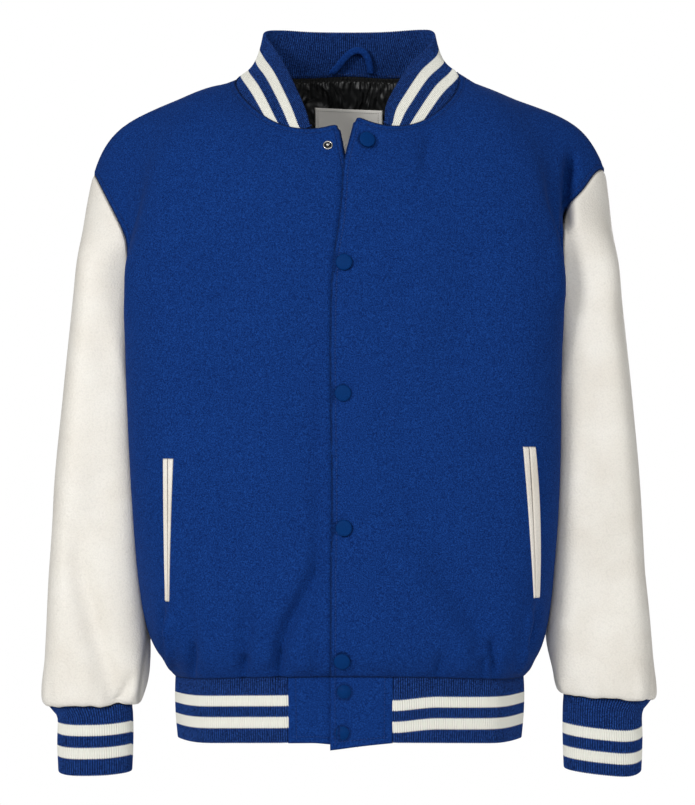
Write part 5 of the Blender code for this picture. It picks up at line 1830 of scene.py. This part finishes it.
def cast(tree, x, z, from_y):
    """Where a line towards the back meets a surface, and the surface's way there."""
    spot, normal, _, _ = tree.ray_cast(Vector((x, from_y, z)), Vector((0, 1, 0)))
    if spot is None:
        raise ValueError("nothing at x %.1f, z %.1f" % (x, z))
    return np.array(spot[:]), np.array(normal[:])


LABEL = {"left": -35, "right": 38, "top": -26, "drop": 50, "tilt": -3}
LABEL_WALL = 0.9
LABEL_LIFT = 6.6               # it lies on the tops of the lining's wrinkles
LABEL_INSET = 4.6              # from its rim to the groove that its stitches pull in
LABEL_COLUMNS, LABEL_ROWS = 45, 31

rows = []
for down in np.linspace(0, 1, LABEL_ROWS):
    row = []
    for across in np.linspace(0, 1, LABEL_COLUMNS):
        x = LABEL["left"] + (LABEL["right"] - LABEL["left"]) * across
        z = LABEL["top"] + LABEL["tilt"] * across - LABEL["drop"] * down
        spot = cast(smooth_satin, x, z, INSIDE)[0]
        row.append(spot - (0, LABEL_LIFT + 0.5 * noise.noise((x / 25, z / 25, 3.0)), 0))
    rows.append(row)
grid = np.array(rows)
sunk = np.abs(np.minimum.reduce(rim_distance(grid)) - LABEL_INSET)
tag, picks = pillow("label_tape", grid, np.broadcast_to(INWARDS, grid.shape), LABEL_WALL, 0.9,
                    [tape], -0.25 * np.exp(-(sunk / 0.9) ** 2))
cloth["label"] = settle(tag, "label", "neck_label")
label_line = [grid[int(down * (LABEL_ROWS - 1)), int(across * (LABEL_COLUMNS - 1))] - (0, 0.45, 0)
              for across, down in ((0.062, 0.09), (0.938, 0.09), (0.938, 0.91), (0.062, 0.91),
                                   (0.062, 0.09))]
print("Label:", triangles(tag), "triangles")

# %% The hanger loop
LOOP_STEPS, LOOP_ACROSS = 72, 13
LOOP_WIDTH = 8.0
LOOP_TURN = {0: 34, 0.35: 10, 0.6: -14, 1: -20}  # degrees that its face turns by along it
LOOP_BOW = 9.0                 # how far its top stands off the line between its feet
LOOP_ROUND = 4.4               # how thick the folded tube is at its middle
LOOP_LINE = [(-17.5, 9.0), (-11.5, 14.5), (-4.0, 23.5), (2.5, 30.0), (10.0, 33.2), (16.5, 31.5),
             (21.0, 26.0), (23.5, 18.0), (24.6, 9.0)]


def loop_line():
    """The loop's middle line, smooth, and bowed off the collar at its top."""
    flat = smooth_rows(np.array(LOOP_LINE)[:, None, :], np.arange(len(LOOP_LINE)),
                       np.linspace(0, len(LOOP_LINE) - 1, LOOP_STEPS))[:, 0]
    share = np.linspace(0, 1, LOOP_STEPS)
    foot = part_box("hanger_loop")[1][1] / MM - LOOP_ROUND / 2
    bow = LOOP_BOW * np.sin(math.pi * share) ** 0.7
    return np.stack([flat[:, 0], foot - bow, flat[:, 1]], 1)


line = loop_line()
along = unit(np.gradient(line, axis=0))
turned_by = np.radians(np.interp(np.linspace(0, 1, LOOP_STEPS), list(LOOP_TURN), list(LOOP_TURN.values())))
face_way = np.stack([np.sin(turned_by), -np.cos(turned_by), np.zeros(LOOP_STEPS)], 1)
face_way = unit(face_way - along * np.sum(face_way * along, axis=1, keepdims=True))
side_way = np.cross(along, face_way)
across = np.linspace(-0.5, 0.5, LOOP_ACROSS)[None, :, None] * LOOP_WIDTH
grid = line[:, None, :] + side_way[:, None, :] * across
ways = np.broadcast_to(face_way[:, None, :], grid.shape)
strip, picks = pillow("loop_strip", grid, ways, LOOP_ROUND, 3.4, [melton])
for field in ("seam", "stitch"):
    store(strip, field, np.full(len(strip.data.vertices), FAR))
cloth["loop"] = settle(strip, "wool", "hanger_loop")
print("Hanger loop:", triangles(strip), "triangles")

# %% [markdown]
# ## Pocket welts
#
# Two slim strips of the sleeves' leather edge each pocket's slit.  They lie on the folded
# front, so their points are cast on to the finished panel rather than on to the smooth one.

# %% Cast the welts on to the fronts
Welt = namedtuple("Welt", "side top_z bottom_z slit front_widths side_widths")
WELTS = [                      # the slit's x and the strips' widths at the top, middle and bottom
    Welt(RIGHT, -400, -546, (182.6, 182.6, 182.6), (5.7, 2.9, 1.0), (4.7, 4.2, 2.7)),
    Welt(LEFT, -388, -543, (184.2, 188.8, 191.8), (6.0, 4.0, 1.5), (7.0, 7.8, 4.2)),
]
WELT_GAP = 0.3
WELT_ROWS, WELT_COLUMNS = 90, 9
WELT_THICK = 2.4
WELT_LIFT = 0.4                # how far its middle lies above the front


def surface_of(piece):
    """A search tree of a piece's own skin, in millimetres."""
    spots = np.empty(len(piece.data.vertices) * 3, np.float32)
    piece.data.vertices.foreach_get("co", spots)
    corners = [tuple(face.vertices) for face in piece.data.polygons]
    return BVHTree.FromPolygons((spots.reshape(-1, 3) / MM).tolist(), corners)


fronts = {RIGHT: surface_of(cloth["front_right"]), LEFT: surface_of(cloth["front_left"])}
for welt in WELTS:
    for half, part, widths in ((-1, "front", welt.front_widths), (1, "side", welt.side_widths)):
        name = "welt_%s_%s" % (SIDES[welt.side], part)
        rows, facing = [], []
        for share in np.linspace(0, 1, WELT_ROWS):
            bend = (share - 1) * (2 * share - 1), 4 * share * (1 - share), share * (2 * share - 1)
            near = np.dot(bend, welt.slit) + half * WELT_GAP / 2
            width = np.dot(bend, widths)
            z = welt.top_z + (welt.bottom_z - welt.top_z) * share
            met = [cast(fronts[welt.side], welt.side * (near + half * width * step), z, OUTSIDE)
                   for step in np.linspace(0, 1, WELT_COLUMNS)]
            rows.append([spot for spot, _ in met])
            facing.append([normal for _, normal in met])
        order = half * welt.side       # the columns always run towards the wearer's left
        grid, ways = np.array(rows)[:, ::order], np.array(facing)[:, ::order]
        strip, picks = pillow("leather_" + name, grid + ways * WELT_LIFT, ways, WELT_THICK, 1.1,
                              [welt_hide])
        store(strip, "seam", np.full(len(strip.data.vertices), FAR))
        cloth[name] = settle(strip, "leather", name)
        print(strip.name, triangles(strip), "triangles")

# %% [markdown]
# ## Snaps
#
# The caps are alike, so one is turned as a solid of revolution and a Geometry Nodes tree
# puts a copy at each place, square to the cloth.  The bare stud at the neck is turned on
# its own.

# %% Turn a profile round the Z axis
SNAP_SIDES = 48


def lathe(name, profile, materials, tags=None):
    """A closed solid of revolution from (radius, height) pairs, from its foot to its top."""
    spots = [(radius * math.cos(2 * math.pi * step / SNAP_SIDES),
              radius * math.sin(2 * math.pi * step / SNAP_SIDES), height)
             for radius, height in profile for step in range(SNAP_SIDES)]
    spots += [(0, 0, profile[0][1]), (0, 0, profile[-1][1])]
    made_faces, kinds = [], []
    for row in range(len(profile) - 1):
        for step in range(SNAP_SIDES):
            after = (step + 1) % SNAP_SIDES
            made_faces.append((row * SNAP_SIDES + step, row * SNAP_SIDES + after,
                               (row + 1) * SNAP_SIDES + after, (row + 1) * SNAP_SIDES + step))
            kinds.append(tags[row] if tags else 0)
    last = (len(profile) - 1) * SNAP_SIDES
    for step in range(SNAP_SIDES):
        after = (step + 1) % SNAP_SIDES
        made_faces.append((len(spots) - 2, after, step))
        made_faces.append((len(spots) - 1, last + step, last + after))
        kinds += [tags[0] if tags else 0, tags[-1] if tags else 0]
    piece = add_mesh(name, spots, made_faces, materials)
    piece.data.polygons.foreach_set("material_index", kinds)
    return piece


CAP_PROFILE = [(6.6, -0.9), (7.0, 0.2), (7.6, 0.7), (8.1, 1.0), (8.25, 1.5), (8.2, 2.1), (7.9, 2.6),
               (7.35, 3.0), (6.6, 3.2), (5.4, 3.32), (3.6, 3.42), (1.8, 3.5)]
cap = lathe("snap_cap_master", CAP_PROFILE, [enamel])

# %% One cap at each place
def place_tree():
    tree, given, keys = start_tree("set_out", {"Thing": "Object", "Finish": "Material", "Size": "Float"})
    chosen = add(tree, "GeometryNodeObjectInfo", {"Object": given.outputs["Thing"]})
    facing = add(tree, "GeometryNodeInputNamedAttribute", {"Name": "facing"}, data_type="FLOAT_VECTOR")
    turn = add(tree, "FunctionNodeAlignRotationToVector", {"Vector": facing.outputs[0]}, axis="Z")
    copies = add(tree, "GeometryNodeInstanceOnPoints", {
        "Points": given.outputs["Geometry"], "Instance": chosen.outputs["Geometry"],
        "Rotation": turn.outputs[0], "Scale": given.outputs["Size"]})
    end_tree(tree, copies.outputs[0], given.outputs["Finish"])
    return tree, *keys


def points_object(name, spots, facing, edges=()):
    """Points, joined or loose, that carry the way each of them faces."""
    mesh = bpy.data.meshes.new(name)
    mesh.from_pydata((np.array(spots) * MM).tolist(), list(edges), [])
    piece = linked(name, mesh)
    store(piece, "facing", facing)
    return piece


def seat(tree, x, z, radius):
    """Where a round trim rests on a panel: its middle, and the way it faces."""
    spots, ways = [], []
    for step in range(12):
        angle = math.radians(30 * step)
        spot, way = cast(tree, x + radius * math.cos(angle), z + radius * math.sin(angle), OUTSIDE)
        spots.append(spot)
        ways.append(way)
    way = unit(np.mean(ways, axis=0))
    middle = cast(tree, x, z, OUTSIDE)[0]
    return middle + way * max(0.0, np.max((np.array(spots) - middle) @ way)), way


tab_tree = surface_of(cloth["hem_tab_left"])
seats = [seat(fronts[LEFT], x, z, CAP_SEAT) for x, z in CAPS]
seats += [seat(tab_tree, x, z, CAP_SEAT) for x, z in TAB_CAPS]
caps = points_object("snap_caps", [spot for spot, _ in seats], [way for _, way in seats])
PLACE_TREE, THING, FINISH, SIZE = place_tree()
through_tree(caps, PLACE_TREE, {THING: cap, FINISH: enamel, SIZE: 1.0})
caps.data.shade_smooth()
bpy.data.objects.remove(cap, do_unlink=True)
settle(caps, "cap", *["snap_cap_%d" % (number + 1) for number in range(len(seats))])
print("Caps:", len(seats), "with", triangles(caps), "triangles")

# %% The bare stud
STUD = (-20.0, -81)            # where it sits, on the underlap
STUD_PROFILE = [(4.6, -0.6), (5.0, 0.1), (5.05, 0.7), (4.75, 1.15), (4.3, 1.3), (3.85, 1.15), (3.6, 0.7),
                (3.5, 0.25), (1.95, 0.2), (1.85, 1.6), (1.75, 2.3), (1.35, 2.8), (0.7, 3.05)]
# kind 1, the stud's hollow, is painted dark as shade
STUD_KINDS = [0, 0, 0, 0, 0, 0, 1, 1, 1, 0, 0, 0]
stud = lathe("snap_stud_turned", STUD_PROFILE, [nickel, stud_hollow_shade], STUD_KINDS)
spot, way = seat(fronts[RIGHT], STUD[0], STUD[1], 4.0)
stud.data.transform(Matrix.LocRotScale(Vector(spot * MM), Vector(way).to_track_quat("Z", "Y"), None))
settle(stud, "steel", "snap_stud")
print("Stud:", triangles(stud), "triangles")

# %% [markdown]
# ## Topstitching
#
# Every edge and armhole has a row of stitches a few millimetres in.  The rows are the
# contour lines that were found when the panels were cut.  A Geometry Nodes tree walks each
# line in even steps and lays one short length of thread at each, flat on the cloth.

# %% The tree that sews a line
def stitch_tree():
    tree, given, keys = start_tree("sew", {"Stitch Length": "Float", "Thread Width": "Float",
                                           "Thread": "Material"})
    line = add(tree, "GeometryNodeMeshToCurve", {"Mesh": given.outputs["Geometry"]})
    even = add(tree, "GeometryNodeResampleCurve", {"Curve": line.outputs[0],
                                                   "Length": given.outputs["Stitch Length"]}, mode="LENGTH")
    facing = add(tree, "GeometryNodeInputNamedAttribute", {"Name": "facing"}, data_type="FLOAT_VECTOR")
    tangent = add(tree, "GeometryNodeInputTangent")
    turn = add(tree, "FunctionNodeAxesToRotation", {"Primary Axis": facing.outputs[0],
                                                    "Secondary Axis": tangent.outputs[0]},
               primary_axis="Z", secondary_axis="X")
    seed = add(tree, "GeometryNodeMeshUVSphere", {"Segments": 6, "Rings": 4, "Radius": 0.5})
    long = add(tree, "ShaderNodeMath", {0: given.outputs["Stitch Length"], 1: 0.74}, operation="MULTIPLY")
    flat = add(tree, "ShaderNodeMath", {0: given.outputs["Thread Width"], 1: 0.7}, operation="MULTIPLY")
    shape = add(tree, "ShaderNodeCombineXYZ", {"X": long.outputs[0], "Y": given.outputs["Thread Width"],
                                               "Z": flat.outputs[0]})
    shaped = add(tree, "GeometryNodeTransform", {"Geometry": seed.outputs["Mesh"],
                                                 "Scale": shape.outputs[0]})
    copies = add(tree, "GeometryNodeInstanceOnPoints", {
        "Points": even.outputs[0], "Instance": shaped.outputs[0], "Rotation": turn.outputs[0]})
    end_tree(tree, copies.outputs[0], given.outputs["Thread"])
    return tree, *keys


SEW_TREE, STITCH_LENGTH_INPUT, THREAD_WIDTH_INPUT, THREAD_INPUT = stitch_tree()


def sew(name, lines, length, width, thread, slot, sink=0.0):
    """Rows of stitches along lines of (points, outward ways), as one piece."""
    spots, facing, edges = [], [], []
    for line, ways in lines:
        edges += [(len(spots) + step, len(spots) + step + 1) for step in range(len(line) - 1)]
        spots += list(line - ways * sink)
        facing += list(ways)
    piece = points_object(name, spots, facing, edges)
    through_tree(piece, SEW_TREE, {STITCH_LENGTH_INPUT: length * MM, THREAD_WIDTH_INPUT: width * MM,
                                   THREAD_INPUT: thread})
    piece.data.shade_smooth()
    print(name, triangles(piece), "triangles in", len(lines), "rows")
    return settle(piece, slot)


# %% Sew the wool, the gathered satin and the label
sew("stitches_wool", contours, 3.3, 0.65, thread_blue, "wool", 0.12)

line = neck_line()
line = line[(np.abs(line[:, 0]) < 100) & (line[:, 1] > 20)]
row = np.array([cast(smooth_satin, x, z - GATHER_BAND - 0.2, INSIDE)[0] - (0, 0.9, 0)
                for x, _, z in line])
sew("stitches_lining", [(row, np.tile(INWARDS, (len(row), 1)))], 3.0, 0.6, thread_black, "satin")

ring = np.array(label_line)
steps = np.concatenate([np.linspace(start, end, 30) for start, end in zip(ring, ring[1:])])
sew("stitches_label", [(steps, np.tile(INWARDS, (len(steps), 1)))], 2.4, 0.45, thread_grey,
    "label")

# %% [markdown]
# ## Camera, light and floor
#
# The camera stands straight in front, 3.5 m away, at the height of the jacket's middle.
# The light is a plain soft studio: a key from the upper left, a broad box in front, a weak
# fill from the right, one box behind, and an even surround that a camera sees as white.

# %% Set up the studio
SCALE_CUE = 1.05               # millimetres on the jacket's plane for each picture line
PICTURE_LINES = 805
DISTANCE = 3.5
EYE_HEIGHT = -0.343

view = bpy.data.cameras.new("camera")
view.sensor_fit = "VERTICAL"
view.sensor_height = 36
view.lens = 36 * DISTANCE / (PICTURE_LINES * SCALE_CUE * MM)
camera = linked("camera", view)
camera.location = (0, -DISTANCE, EYE_HEIGHT)
camera.rotation_euler = (math.pi / 2, 0, 0)
bpy.context.scene.camera = camera
bpy.context.scene.view_settings.view_transform = "Standard"


def soft_box(name, place, size, power):
    """A square area light aimed at the middle of the jacket."""
    lamp = bpy.data.lights.new(name, "AREA")
    lamp.shape = "SQUARE"
    lamp.size = size
    lamp.energy = power
    light = linked(name, lamp)
    light.location = place
    aim = Vector((0, 0, EYE_HEIGHT)) - Vector(place)
    light.rotation_euler = aim.to_track_quat("-Z", "Y").to_euler()


soft_box("key_light", (-2.15, -2.9, 1.05), 0.9, 69)
soft_box("front_light", (0.3, -4.0, 0.9), 2.0, 37)
soft_box("fill_light", (2.6, -2.6, 0.0), 1.8, 20)
soft_box("back_light", (0.4, 2.8, 0.7), 2.0, 34)

world = bpy.data.worlds.new("studio")
world.use_nodes = True
tree = world.node_tree
tree.nodes.clear()
ray = add(tree, "ShaderNodeLightPath")
backdrop = add(tree, "ShaderNodeBackground", {"Color": (1, 1, 1, 1), "Strength": 1.0})
surround = add(tree, "ShaderNodeBackground", {"Color": (0.97, 0.98, 1.0, 1), "Strength": 0.29})
mixed = add(tree, "ShaderNodeMixShader", {0: ray.outputs["Is Camera Ray"],
                                          1: surround.outputs[0], 2: backdrop.outputs[0]})
add(tree, "ShaderNodeOutputWorld", {"Surface": mixed.outputs[0]})
bpy.context.scene.world = world

FLOOR_HEIGHT = -1.2
FLOOR_RADIUS = 2.4
floor_mesh = bpy.data.meshes.new("floor")
ring = [(FLOOR_RADIUS * math.cos(math.radians(step)), FLOOR_RADIUS * math.sin(math.radians(step)),
         FLOOR_HEIGHT) for step in range(0, 360, 5)]
floor_mesh.from_pydata(ring, [], [tuple(range(len(ring)))])
pale, tree, shader = finish_of("studio_floor_pale", base_color=linear("efefee"), roughness=0.85)
floor_mesh.materials.append(pale)
floor = linked("floor", floor_mesh)
print("Camera lens %.1f mm" % view.lens)

# %% [markdown]
# ## Each piece as flat cloth
#
# A cutter needs to know how wide and long each piece is before it is sewn.  The sizes are
# those of what shows: right round for a sleeve or a cuff, and only once for a band that is
# folded double.  A band's length is its count of ribs times their pitch, and the panels
# were measured along the finished surface, so these describe this model and no pattern.
# The area is given where the cut is shaped, as round an armhole, and less than a rectangle.
# The satin is wider than the place it fills, because its gathers take some up.

Cut = namedtuple("Cut", "width length area held rests_on")
